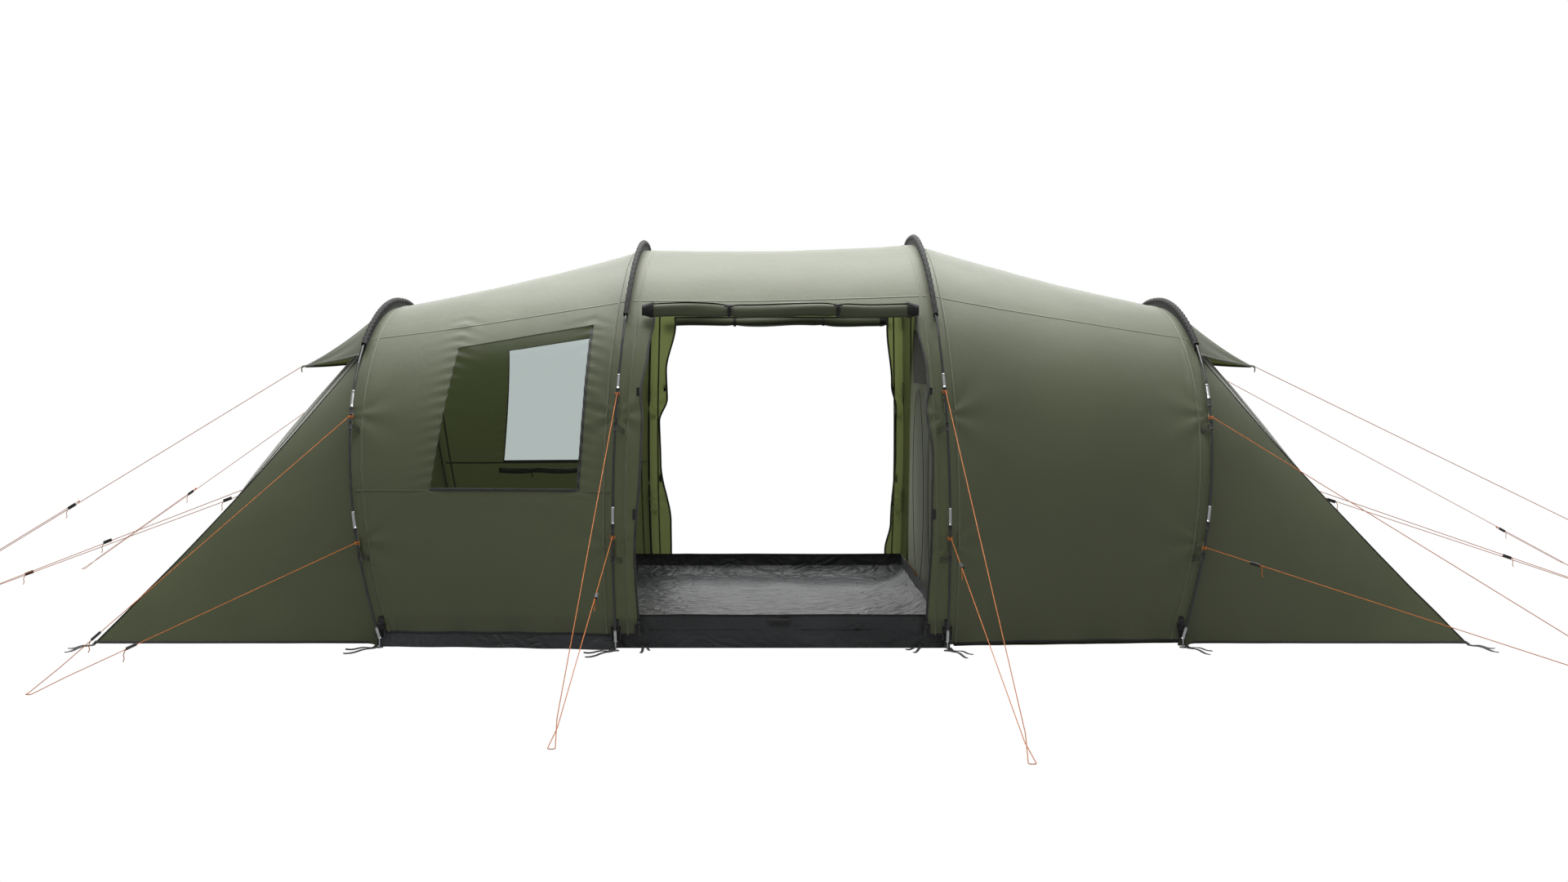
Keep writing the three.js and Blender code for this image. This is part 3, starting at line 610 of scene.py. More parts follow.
hoops = {
    1: Hoop(1, -1, low_bow),
    2: Hoop(2, -1, tall_bow),
    3: Hoop(3, 1, tall_bow),
    4: Hoop(4, 1, low_bow),
}
RIDGE = hoops[2].height + 0.015  # the level that the tall arches' measures are taken from
TALL_FOOT = hoops[3].foot
LOW_FOOT = hoops[4].foot
END_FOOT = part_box("outer_right_end")[1].x
END_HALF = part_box("outer_right_end")[1].y


# ---- Folds and creases in the cloth --------------------------------------------------------------

def ripple(p, scale, stretch=(1, 1, 1)):
    return noise.noise(Vector((p.x * stretch[0], p.y * stretch[1], p.z * stretch[2])) * scale)


GATHER_HEIGHTS = (0.49, 1.09)


def gathers(p):
    """Folds that run out from the places where the bare poles are clipped and guyed."""
    total = 0.0
    for hoop in hoops.values():
        for z in GATHER_HEIGHTS:
            side = math.copysign(1, p.y)
            spot = hoop.point(hoop.share_at(z), 1.0)
            dx, dz = p.x - spot.x, p.z - spot.z
            reach = math.hypot(dx, dz)
            if reach > 0.5 or abs(p.y - side * abs(spot.y)) > 0.3:
                continue
            angle = math.atan2(dz, dx)
            swing = math.sin(7 * angle + 2.1 * hoop.number + side)
            total += 0.0055 * swing * math.exp(-reach / 0.13) * smooth_step(reach / 0.04)
    return total


def pole_folds(p):
    """Loose folds along the bare poles, where no sleeve holds the cloth."""
    total = 0.0
    for hoop in hoops.values():
        if p.z > SLEEVE_END + 0.05:
            continue
        away = abs(p.x - hoop.x(p.z / hoop.height))
        if away > 0.25:
            continue
        wander = 1.5 * ripple(p, 3.0, (0.2, 0.2, 1))
        total += 0.004 * math.sin(away * 130 + wander) * math.exp(-away / 0.05)
    return total


def hem_waves(p, hem):
    rise = p.z - hem
    if rise > 0.5:
        return 0.0
    return 0.006 * math.sin(p.x * 21 + 3 * ripple(p, 1.3)) * math.exp(-rise / 0.12)


def cloth_relief(p, hem):
    """How far the cloth stands out from its plain shape."""
    slack = 0.0045 * ripple(p, 1.9) + 0.0016 * ripple(p, 6.5, (1, 1, 0.6))
    return slack + gathers(p) + pole_folds(p) + hem_waves(p, hem)


def relieved(rows, amount, outward):
    """Rows of points moved along the sheet's normal by amount(point)."""
    result = []
    last_i, last_j = len(rows) - 1, len(rows[0]) - 1
    for i, row in enumerate(rows):
        line = []
        for j, p in enumerate(row):
            along = rows[min(i + 1, last_i)][j] - rows[max(i - 1, 0)][j]
            across = row[min(j + 1, last_j)] - row[max(j - 1, 0)]
            normal = along.cross(across)
            if normal.length > 1e-12:
                normal.normalize()
            if normal.dot(outward(p)) < 0:
                normal.negate()
            line.append(p + normal * amount(p))
        result.append(line)
    return result


def from_axis(p):
    """Away from the tent's long axis."""
    return Vector((0, p.y, p.z - 0.4))


# ---- Outer tent: sections between hoops ----------------------------------------------------------

class Section:
    """The cloth between two hoops, by s, from one hoop to the other, and share, from hem to hem."""

    def __init__(self, a, b, hem):
        self.a, self.b, self.hem = hoops[a], hoops[b], hem

    def point(self, s, share):
        p = self.a.point(share, 1).lerp(self.b.point(share, 1), s)
        sag = 4 * s * (1 - s)
        p.z -= ROOF_SAG * sag * math.sin(math.pi * share) ** 2
        p.y += WALL_SAG * sag * math.cos(math.pi * share) ** 3
        return p

    def share_at(self, s, z):
        """The share on the near side at which the cloth is at height z."""
        share = 0.2
        for _ in range(3):
            sag = ROOF_SAG * 4 * s * (1 - s) * math.sin(math.pi * share) ** 2
            height = mix(self.a.height, self.b.height, s) - STANDOFF_TOP
            rise = clamp((z + sag) / height)
            share = math.asin(rise ** (ARCH_POWER / 2)) / math.pi
        return share

    def s_at(self, x, share):
        rise = self.a.rise(share)
        start, end = self.a.x(rise), self.b.x(rise)
        return (x - start) / (end - start)

    def cut(self):
        """The size that the cloth is cut to: hoop to hoop, and hem to hem over the roof."""
        first = self.share_at(0.5, self.hem)
        arc = [self.point(0.5, share) for share in evenly(first, 1 - first, 60)]
        return abs(self.b.x(0.5) - self.a.x(0.5)), path_length(arc)


class Window:
    """A four-sided window in the left section, by height and distance from the tent's middle."""
    low = 0.722
    columns = (16, 46, 14)
    rows = (44, 52, 56)
    skipped_rows = (1,)

    def __init__(self):
        self.high_outer = hoops[1].height - 0.261
        self.high_inner = RIDGE - 0.473

    def left(self, z, side):
        t = (z - self.low) / (self.high_outer - self.low)
        return -mix(LOW_FOOT - 0.196, LOW_FOOT - 0.274, t)

    def right(self, z, side):
        t = (z - self.low) / (self.high_inner - self.low)
        return -mix(TALL_FOOT + 0.186, TALL_FOOT + 0.150, t)

    def high(self, x):
        t = (x + LOW_FOOT - 0.274) / (LOW_FOOT - 0.274 - TALL_FOOT - 0.150)
        return mix(self.high_outer, self.high_inner, clamp(t))

    def puckers(self, p):
        """Short gathers where the film is sewn to the cloth."""
        if not self.low - 0.03 < p.z < self.high_inner + 0.05:
            return 0.0
        total = 0.0
        for edge in (self.left(p.z, 0), self.right(p.z, 0)):
            away = abs(p.x - edge)
            if away < 0.2:
                beat = math.sin(p.z * 118 + away * 35 + 1.6 * ripple(p, 7.0, (0, 1, 1)))
                total += 0.0032 * beat * math.exp(-away / 0.045)
        return total


# The doorways' edges, by height, as distances from the tent's middle. They are pulled apart where
# the poles are guyed.
DOOR_EDGES = {
    ("near", "left"): [(0.03, -0.650), (0.44, -0.672), (0.88, -0.650), (1.05, -0.646), (1.17, -0.657),
                       (1.36, -0.628), (1.52, -0.606)],
    ("near", "right"): [(0.03, 0.660), (0.58, 0.690), (0.89, 0.700), (1.11, 0.677), (1.17, 0.690),
                        (1.27, 0.688), (1.52, 0.650)],
    ("far", "left"): [(0.17, -0.638), (0.34, -0.640), (0.70, -0.700), (0.96, -0.705), (1.10, -0.655),
                      (1.26, -0.657), (1.55, -0.592)],
    ("far", "right"): [(0.17, 0.665), (0.34, 0.699), (0.75, 0.725), (1.04, 0.722), (1.18, 0.692),
                       (1.55, 0.649)],
}


class Doorway:
    """The doorway between the tall hoops, open down to the hem."""
    low = 0.5
    columns = (10, 60, 10)
    rows = (36, 76, 46)
    skipped_rows = (0, 1)

    def __init__(self):
        self.top = (hoops[2].height + hoops[3].height) / 2 - 0.380

    def left(self, z, side):
        return between(DOOR_EDGES[side, "left"], z)

    def right(self, z, side):
        return between(DOOR_EDGES[side, "right"], z)

    def high(self, x):
        return self.top

    def puckers(self, p):
        return 0.0


class Plain:
    """No opening."""
    low = 0.6
    columns = (26, 26, 26)
    rows = (40, 50, 56)
    skipped_rows = ()

    def __init__(self, section):
        self.section = section

    def left(self, z, side):
        rise = clamp(z / self.section.a.height)
        return mix(self.section.a.x(rise), self.section.b.x(rise), 1 / 3)

    def right(self, z, side):
        rise = clamp(z / self.section.a.height)
        return mix(self.section.a.x(rise), self.section.b.x(rise), 2 / 3)

    def high(self, x):
        return 1.3

    def puckers(self, p):
        return 0.0


def steps(counts):
    """Block and place in it for each grid line: counts (2, 3) give 0, 1/2, 1, 4/3, 5/3, 2."""
    lines = [0.0]
    for block, count in enumerate(counts):
        lines += [block + (k + 1) / count for k in range(count)]
    return lines


def grid_place(section, opening, side, u, v):
    """s and share of one grid point of a section's side, whose lines follow its opening."""
    s = u / 3
    share = 0.2
    first = section.share_at(s, section.hem)
    block = min(2, int(u))
    for _ in range(4):
        x = mix(section.a.x(section.a.rise(share)), section.b.x(section.b.rise(share)), s)
        if v <= 1:
            share = mix(first, section.share_at(s, opening.low), v)
        elif v <= 2:
            share = section.share_at(s, mix(opening.low, opening.high(x), v - 1))
        else:
            share = mix(section.share_at(s, opening.high(x)), 0.5, v - 2)
        z = min(section.point(s, share).z, opening.high(x))
        fixed_share = section.share_at(s, z)
        edges = [0, section.s_at(opening.left(z, side), fixed_share),
                 section.s_at(opening.right(z, side), fixed_share), 1]
        s = mix(edges[block], edges[block + 1], u - block)
    return s, share


def section_rows(section, opening):
    """A section's grid, with one row for each line from the near hem over the roof to the far hem."""
    heights = steps(opening.rows)
    rows = []
    for side, lines in (("near", heights), ("far", reversed(heights[:-1]))):
        for v in lines:
            places = [grid_place(section, opening, side, u, v) for u in steps(opening.columns)]
            rows.append([section.point(s, on_side(share, side)) for s, share in places])
    return rows


def opening_edge(rows, opening, line, side):
    """The points along an opening's left (1) or right (2) edge, from its lowest row up."""
    across = sum(opening.columns[:line])
    low = sum(opening.rows[:min(opening.skipped_rows)])
    high = sum(opening.rows[:max(opening.skipped_rows) + 1])
    picked = range(low, high + 1)
    last = len(rows) - 1
    return [rows[k if side == "near" else last - k][across].copy() for k in picked]


def opening_top(rows, opening, side, line=None):
    """The points along an opening's upper edge, or its lower edge with line=0, from left to right."""
    block = max(opening.skipped_rows) + 1 if line is None else min(opening.skipped_rows)
    row = sum(opening.rows[:block])
    left, right = opening.columns[0], sum(opening.columns[:2])
    last = len(rows) - 1
    return [p.copy() for p in rows[row if side == "near" else last - row][left:right + 1]]


def make_section(name, section, opening, node):
    rows = section_rows(section, opening)

    def amount(p):
        return cloth_relief(p, section.hem) + opening.puckers(p)

    rows = relieved(rows, amount, from_axis)
    left, right = opening.columns[0], sum(opening.columns[:2])
    skipped = [range(sum(opening.rows[:k]), sum(opening.rows[:k + 1])) for k in opening.skipped_rows]
    last = len(rows) - 2

    def keep(i, j):
        inside = left <= j < right
        return not (inside and any(i in span or last - i in span for span in skipped))

    # The doorway's section gets the lit copy of the cloth: painted backlight on its jambs.
    look = "outer_lit" if section is centre_section else "outer"
    piece = Mesh().grid(rows, keep).object(name, look, replaces=[node])
    width, length = section.cut()
    return rows


left_section = Section(1, 2, HEM["living"])
centre_section = Section(2, 3, HEM["living"])
right_section = Section(3, 4, HEM["bedroom"])
window, doorway = Window(), Doorway()

left_rows = make_section("cloth_left", left_section, window, "outer_left")
centre_rows = make_section("cloth_centre", centre_section, doorway, "outer_centre")
right_rows = make_section("cloth_right", right_section, Plain(right_section), "outer_right")


# ---- Outer tent: sloping ends --------------------------------------------------------------------

END_DROP = 1.6  # an end starts this many standoffs inside its hoop
END_BULGE = 0.075
RIDGE_SAG = 0.024
FOOT_STEP = 0.070
RIDGE_HEIGHT = hoops[1].height - 0.255


class End:
    """A sloping end: s runs from its low hoop down to the ground, share from its near side round."""

    def __init__(self, hoop):
        self.hoop = hoop
        self.first = hoop.share_at(HEM["end"], END_DROP)
        self.ridge = hoop.share_at(RIDGE_HEIGHT, END_DROP)
        self.start_x = LOW_FOOT + FOOT_STEP
        self.start_y = hoop.half - END_DROP * STANDOFF_SIDE - 0.005

    def ground(self, share):
        turned = min(share, 1 - share)
        near = -1 if share < 0.5 else 1
        if turned < self.ridge:
            t = (turned - self.first) / (self.ridge - self.first)
            x, y = mix(self.start_x, END_FOOT, t), near * mix(self.start_y, END_HALF, t)
            return Vector((self.hoop.side * x, y, HEM["end"]))
        across = (share - 0.5) / (0.5 - self.ridge)
        return Vector((self.hoop.side * END_FOOT, across * END_HALF, HEM["end"]))

    def point(self, s, share):
        p = self.hoop.point(share, END_DROP).lerp(self.ground(share), s)
        middle = clamp((share - self.ridge) / (1 - 2 * self.ridge))
        bulge = (END_BULGE + RIDGE_SAG) * math.sin(math.pi * middle) ** 2 - RIDGE_SAG
        out = math.sin(math.pi * s) * bulge
        return p + Vector((self.hoop.side * 0.8 * out, 0, 0.6 * out))

    def shares(self, side_steps, middle_steps):
        sides = [mix(self.first, self.ridge, k / side_steps) for k in range(side_steps)]
        middle = [mix(self.ridge, 1 - self.ridge, k / middle_steps) for k in range(middle_steps)]
        return sides + middle + [1 - x for x in reversed(sides + [self.ridge])]


def end_relief(end):
    """Folds of an end: slack, a pull at its guyline, and waves along its hem."""
    guy = Vector((end.hoop.side * 2.80, 0, 0.645))

    def amount(p):
        slack = 0.006 * ripple(p, 1.5) + 0.0018 * ripple(p, 6.0)
        reach = (p - guy).length
        angle = math.atan2(p.z - guy.z, p.y)
        star = 0.004 * math.sin(9 * angle) * math.exp(-reach / 0.16) * smooth_step(reach / 0.05)
        return slack + star + 0.4 * hem_waves(p, HEM["end"])

    return amount


def make_end(name, number, node):
    end = End(hoops[number])
    shares = end.shares(46, 70)
    rows = [[end.point(k / 80, share) for share in shares] for k in range(81)]
    rows = relieved(rows, end_relief(end), lambda p: Vector((end.hoop.side, p.y * 0.3, 0.5)))
    piece = Mesh().grid(rows).object(name, "outer", replaces=[node])
    arc = path_length([end.hoop.point(share, END_DROP) for share in shares])
    drop = max(path_length(column(rows, j)) for j in range(0, len(shares), 8))
    return end, rows


left_end, left_end_rows = make_end("cloth_left_end", 1, "outer_left_end")
right_end, right_end_rows = make_end("cloth_right_end", 4, "outer_right_end")


# ---- Lines on the cloth --------------------------------------------------------------------------

def on_section(section, opening, s, share, lift):
    """A point on a section's finished cloth, folds included, and the way out of it there."""
    step = 0.004
    p = section.point(s, share)
    along = section.point(min(1, s + step), share) - section.point(max(0, s - step), share)
    across = section.point(s, share + step) - section.point(s, share - step)
    normal = along.cross(across).normalized()
    if normal.dot(from_axis(p)) < 0:
        normal.negate()
    return p + normal * (cloth_relief(p, section.hem) + opening.puckers(p) + lift), normal


def ribbon(mesh, path, normals, width, thickness):
    """Adds a strap that lies flat on a surface with these normals."""
    return mesh.sweep(path, flat(width, thickness), normals)


def line_on(section, opening, places, lift):
    """A line on a section's finished cloth through (s, share) places, and the ways out of it."""
    spots = [on_section(section, opening, s, share, lift) for s, share in places]
    return column(spots, 0), column(spots, 1)


def seam_path(section, opening, start_share, end_share, side, count=60):
    """A seam from hoop to hoop, on one side."""
    places = [(s, on_side(mix(start_share, end_share, s), side)) for s in evenly(0.012, 0.988, count)]
    return line_on(section, opening, places, SEAM["lift"])


SEAM_SHARE = {1: 0.335, 2: 0.3046, 3: 0.3046, 4: 0.335}  # where roof meets wall, at each hoop
SKIRT_SEAM = 0.714  # height of the walls' lower seam
SEAM = {"width": 0.009, "thickness": 0.0008, "lift": 0.0004}


def make_seams(name, section, opening, skirt_spans):
    """The two roof seams of a section, and its lower seams between the given shares of its length."""
    mesh = Mesh()
    for side in OUT:
        start, end = SEAM_SHARE[section.a.number], SEAM_SHARE[section.b.number]
        path, normals = seam_path(section, opening, start, end, side)
        ribbon(mesh, path, normals, SEAM["width"], SEAM["thickness"])
        for low, high in skirt_spans:
            places = [(s, on_side(section.share_at(s, SKIRT_SEAM), side))
                      for s in evenly(low, high, 30)]
            path, normals = line_on(section, opening, places, SEAM["lift"])
            ribbon(mesh, path, normals, SEAM["width"], SEAM["thickness"])
    # The seams take the darker seam cloth: painted shade.
    mesh.object(name, "seam")


make_seams("seams_left", left_section, window, [(0.012, 0.988)])
make_seams("seams_centre", centre_section, doorway, [])
make_seams("seams_right", right_section, Plain(right_section), [])


def row_normals(path):
    """Outward directions for a path round the tent's wall."""
    return [Vector((0, math.copysign(1, p.y), 0.15)).normalized() for p in path]


def edging(mesh, path, lift, width, thickness, rise=0.0):
    """A ribbon along a path round the tent's wall, lifted off the cloth."""
    normals = row_normals(path)
    ribbon(mesh, [p + n * lift + UP * rise for p, n in zip(path, normals)], normals, width, thickness)


def make_hems():
    """The black binding along every lower edge."""
    for name, rows in (("left", left_rows), ("centre", centre_rows), ("right", right_rows)):
        mesh = Mesh()
        for row in (rows[0], rows[-1]):
            for path in split_at_door(row) if name == "centre" else [row]:
                edging(mesh, path, 0.0015, 0.012, 0.003, 0.005)
        mesh.object(f"hem_{name}", "black")
    for name, end, rows in (("left_end", left_end, left_end_rows),
                            ("right_end", right_end, right_end_rows)):
        path = [p + UP * 0.006 for p in rows[-1]]
        outward = [(Vector((end.hoop.side * 0.4, p.y * 0.8, 0.6))).normalized() for p in path]
        mesh = ribbon(Mesh(), [p + n * 0.002 for p, n in zip(path, outward)], outward, 0.012, 0.003)
        mesh.object(f"hem_{name}", "black")


def split_at_door(row):
    left, right = doorway.columns[0], sum(doorway.columns[:2])
    return [row[:left + 1], row[right:]]


make_hems()


SKIRT_LAP = 0.02  # how far the skirt reaches up behind the hem


def make_skirts():
    """The dark sheeting that hangs from the living area's hem to the ground, beside the window."""
    for side, row in (("near", left_rows[0]), ("far", left_rows[-1])):
        path = [Vector((-LOW_FOOT - 0.004, row[0].y, row[0].z))] + row
        outward = Vector((0, OUT[side], 0))
        rows = []
        for k in range(7):
            t = k / 6
            lean = outward * (0.026 * t - 0.004)
            fold = 0.003 * t * ripple(Vector((t, 0, 0)), 9.0)
            rows.append([Vector((p.x, p.y, mix(p.z + SKIRT_LAP, 0.001, t))) + lean
                         + outward * (fold + 0.004 * t * ripple(Vector((p.x, 0, 0)), 9.0))
                         for p in path])
        piece = Mesh().grid(rows).object(f"skirt_{side}", "wall")
        path_length(path)


def make_hoop_tapes():
    """The dark tape inside each hoop seam, which joins the cloth on its two sides."""
    joints = {1: (left_end_rows[0], column(left_rows, 0)),
              2: (column(left_rows, -1), column(centre_rows, 0)),
              3: (column(centre_rows, -1), column(right_rows, 0)),
              4: (column(right_rows, -1), right_end_rows[0])}
    for number, (first, second) in joints.items():
        first, second = spaced(first, 160), spaced(second, 160)
        rows = []
        for a, b in zip(first, second):
            inward = from_axis((a + b) / 2) * -1
            across = (b - a).normalized()
            rows.append([a + inward * 0.002 - across * 0.006, a.lerp(b, 0.3) + inward * 0.006,
                         a.lerp(b, 0.7) + inward * 0.006, b + inward * 0.002 + across * 0.006])
        piece = Mesh().grid(rows).object(f"hoop_tape_{number}", "zip")
        length = path_length(column(rows, 1))


PIPING_SHARES = (0.0, 0.045)  # past each ridge of an end, towards its middle


def make_piping():
    """Two lines of piping along each ridge of the ends."""
    for name, end in (("left", left_end), ("right", right_end)):
        amount = end_relief(end)
        mesh = Mesh()
        for side in OUT:
            for past in PIPING_SHARES:
                share = on_side(end.ridge + past, side)
                path, normals = [], []
                for k in range(61):
                    p = end.point(mix(0.02, 0.995, k / 60), share)
                    normal = Vector((end.hoop.side * 0.7, p.y * 0.8, 0.7)).normalized()
                    path.append(p + normal * (amount(p) + 0.001))
                    normals.append(normal)
                ribbon(mesh, path, normals, 0.006, 0.0035)
        mesh.object(f"end_piping_{name}", "sleeve")


EDGE_SEAM = 0.050  # metres from the hoop, on the section's side


def make_edge_seams():
    """The raised lapped seam that runs up each section beside its hoops, in a lighter cloth that is a
    painted highlight.
    """
    for name, section, opening in (("left", left_section, window), ("centre", centre_section, doorway),
                                   ("right", right_section, Plain(right_section))):
        mesh = Mesh()
        length = (section.point(1, 0.5) - section.point(0, 0.5)).length
        for s in (EDGE_SEAM / length, 1 - EDGE_SEAM / length):
            first = section.share_at(s, section.hem + 0.002)
            places = [(s, share) for share in evenly(first, 1 - first, 160)]
            path, normals = line_on(section, opening, places, 0.0012)
            ribbon(mesh, path, normals, 0.009, 0.0032)
        mesh.object(f"edge_seams_{name}", "edge")


make_skirts()
make_hoop_tapes()
make_edge_seams()
make_piping()


# ---- Windows -------------------------------------------------------------------------------------

def make_window(side):
    left, right = window.columns[0], sum(window.columns[:2])
    low, high = window.rows[0], sum(window.rows[:2])
    last = len(left_rows) - 2

    def inside(i, j):
        row = i if side == "near" else last - i
        return left <= j < right and low <= row < high

    film = Mesh().grid(left_rows, inside)
    film = film.object(f"window_film_{side}", "film", replaces=[f"window_{side}"])
    bottom = opening_top(left_rows, window, side, 0)
    inner_edge = opening_edge(left_rows, window, 2, side)
    width = path_length(bottom)
    outer_edge = opening_edge(left_rows, window, 1, side)
    top = opening_top(left_rows, window, side)
    binding = Mesh()
    for path in (bottom, inner_edge):
        edging(binding, path, 0.002, 0.014, 0.003)
    binding.object(f"window_binding_{side}", "zip")
    stitching = Mesh()
    for path in (top, outer_edge):
        edging(stitching, path, 0.001, 0.007, 0.002)
    # The stitching takes the darker seam cloth: painted shade.
    stitching.object(f"window_seam_{side}", "seam")


def rolled_cloth(centres, radius, turns, tallness, around, pinch):
    """A roll of cloth along its centres: one sheet wound into a spiral, with a loose outer edge."""
    rows = []
    for k, centre in enumerate(centres):
        t = k / (len(centres) - 1)
        size = pinch(t)
        row = []
        for j in range(around + 1):
            angle = 2 * math.pi * turns * j / around
            shrink = 0.45 + 0.55 * j / around
            wobble = 1 + 0.05 * math.sin(3 * angle + 9 * t) + 0.03 * math.sin(23 * t + 2 * angle)
            r = radius * shrink * size * wobble
            row.append(centre + Vector((0, r * math.cos(angle), r * tallness * math.sin(angle))))
        rows.append(row)
    return Mesh().grid(rows)


def band(mesh, centre, radius, tallness, width):
    """A webbing loop round a roll that lies along X."""
    ring, normals = [], []
    for k in range(21):
        angle = 2 * math.pi * k / 20
        normals.append(Vector((0, math.cos(angle), math.sin(angle))))
        ring.append(centre + Vector((0, radius * math.cos(angle), radius * tallness * math.sin(angle))))
    return mesh.sweep(ring, flat(width, 0.0018), normals)


CURTAIN_TIES = (0.27, 0.70)  # shares of a rolled curtain's length
CURTAIN_TURNS = 2.3


def make_curtain(side):
    low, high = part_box(f"curtain_roll_{side}")
    middle = (low + high) / 2
    radius = (high.z - low.z) / 2

    def pinch(t):
        return 1 - 0.28 * max(math.exp(-((t - tie) / 0.03) ** 2) for tie in CURTAIN_TIES)

    centres = []
    for k in range(61):
        t = k / 60
        sag = 0.006 * math.sin(math.pi * ((t * 3) % 1))
        centres.append(Vector((mix(low.x, high.x, t), middle.y, middle.z - sag)))
    roll = rolled_cloth(centres, radius, CURTAIN_TURNS, 1.0, 54, pinch)
    piece = roll.object(f"curtain_{side}", "curtain", replaces=[f"curtain_roll_{side}"])
    bands = Mesh()
    for tie in CURTAIN_TIES:
        spot = centres[round(tie * 60)]
        band(bands, spot, radius * 0.78, 1.0, 0.014)
        hang = [spot + Vector((0.004, 0, -radius * 0.7)), spot + Vector((0.01, 0, -radius * 1.5)),
                spot + Vector((0.004, 0, -radius * 2.4))]
        bands.sweep(spaced(hang, 6), circle(0.0035, 8), ACROSS)
    ties_piece = bands.object(f"curtain_ties_{side}", "black")


for side in OUT:
    make_window(side)
    make_curtain(side)


# ---- Doors ---------------------------------------------------------------------------------------

TOGGLES = (-0.244, 0.270)  # along X, where the rolled doors are tied
DOOR_TAB_HEIGHTS = (0.10, 0.62, 1.17)
DOOR_TURNS = 3.3


def make_door_roll(side):
    low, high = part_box(f"door_roll_{side}")
    middle = (low + high) / 2
    radius = (high.y - low.y) / 2
    tallness = (high.z - low.z) / (high.y - low.y)
    steps_along = 90
    length = high.x - low.x

    def pinch(t):
        x = low.x + length * t
        tied = max(math.exp(-((x - toggle) / 0.035) ** 2) for toggle in TOGGLES)
        return 0.97 - 0.16 * tied - 0.25 * (1 - smooth_step(min(t, 1 - t) / 0.03))

    centres = []
    for k in range(steps_along + 1):
        x = low.x + length * k / steps_along
        hang = 0.004 * math.sin(x * 9.5) + 0.003 * ripple(Vector((x, 0, 0)), 4.0)
        centres.append(Vector((x, middle.y, middle.z + hang)))
    roll = rolled_cloth(centres, radius, DOOR_TURNS, tallness, 96, pinch)
    # The roll takes the darker copy of the outer cloth: painted shade.
    piece = roll.object(f"door_{side}", "door", replaces=[f"door_roll_{side}"])
    ties = Mesh()
    for toggle in TOGGLES:
        spot = min(centres, key=lambda p: abs(p.x - toggle))
        band(ties, spot, radius * 0.86, tallness, 0.016)
        front = spot + Vector((0, OUT[side] * radius * 0.95, radius * 0.75))
        ties.sweep([front - Vector((0.022, 0, 0)), front + Vector((0.022, 0, 0))], circle(0.0045, 8))
        hang = [front, front + Vector((0.012, OUT[side] * 0.006, -0.012)),
                front + Vector((0.020, OUT[side] * 0.004, -0.034))]
        ties.sweep(spaced(hang, 6), circle(0.0025, 6), ACROSS)
    ties_piece = ties.object(f"door_ties_{side}", "black")


def make_roll_ends(side):
    """The dark gussets that close the door roll's ends."""
    low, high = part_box(f"door_roll_{side}")
    middle = (low + high) / 2
    radius = (high.y - low.y) / 2
    mesh = Mesh()
    for x, inward in ((low.x, 1), (high.x, -1)):
        rows = []
        for k in range(9):
            t = k / 8
            centre = Vector((x + inward * (0.055 * t - 0.012), middle.y, middle.z + 0.004 * t))
            size = radius * mix(0.72, 1.04, smooth_step(t))
            row = []
            for j in range(20):
                angle = 2 * math.pi * j / 20
                fold = 1 + 0.05 * math.sin(5 * angle + 4 * t)
                row.append(centre + Vector((0, size * fold * math.cos(angle),
                                            1.25 * size * fold * math.sin(angle))))
            rows.append(row)
        mesh.grid(rows, closed=True)
    piece = mesh.object(f"door_gussets_{side}", "sleeve")


def make_door_zips(side):
    """Zip tape down both edges of a doorway and across its top, with tabs and a puller on each edge."""
    mesh = Mesh()
    for line in (1, 2):
        edging(mesh, opening_edge(centre_rows, doorway, line, side), 0.002, 0.011, 0.004)
    edging(mesh, opening_top(centre_rows, doorway, side), 0.002, 0.011, 0.004, -0.004)
    mesh.object(f"door_zips_{side}", "zip")
    tabs = Mesh()
    for line, step_in in ((1, -1), (2, 1)):
        path = opening_edge(centre_rows, doorway, line, side)
        for z in DOOR_TAB_HEIGHTS:
            spot = min(path, key=lambda p: abs(p.z - z))
            spot = spot + Vector((step_in * 0.012, OUT[side] * 0.004, 0))
            strip = [spot + UP * (0.010 * k - 0.025) for k in range(6)]
            ribbon(tabs, strip, row_normals(strip), 0.014, 0.003)
    tabs.object(f"door_tabs_{side}", "black")
    pulls = Mesh()
    for line in (1, 2):
        path = opening_edge(centre_rows, doorway, line, side)
        spot = path[4] + Vector((0, OUT[side] * 0.006, 0))
        pulls.sweep([spot + UP * 0.02, spot], circle(0.006, 8), ACROSS)
        tag_end = spot - UP * 0.02 + Vector((0.003, OUT[side] * 0.003, 0))
        pulls.sweep([spot, tag_end], flat(0.009, 0.003), ACROSS)
    pulls.object(f"zip_pulls_{side}", "plastic")


for side in OUT:
    make_door_roll(side)
    make_roll_ends(side)
    make_door_zips(side)


# ---- Sleeves and hoods ---------------------------------------------------------------------------

SLEEVE_RADIUS = 0.012
SLEEVE_BASE = 0.0035  # half thickness where a sleeve is sewn on


def sleeve_outline(depth, pucker):
    """The sleeve's section in X and up: up one side of the stem, over the pole and down again."""
    turns = 12
    points = [(-SLEEVE_BASE, -depth), (-SLEEVE_BASE - pucker, -depth * 0.6)]
    for k in range(turns + 1):
        angle = math.radians(230 - 280 * k / turns)
        r = SLEEVE_RADIUS + pucker * math.sin(3 * angle)
        points.append((r * math.cos(angle), r * math.sin(angle)))
    return points + [(SLEEVE_BASE - pucker, -depth * 0.6), (SLEEVE_BASE, -depth)]


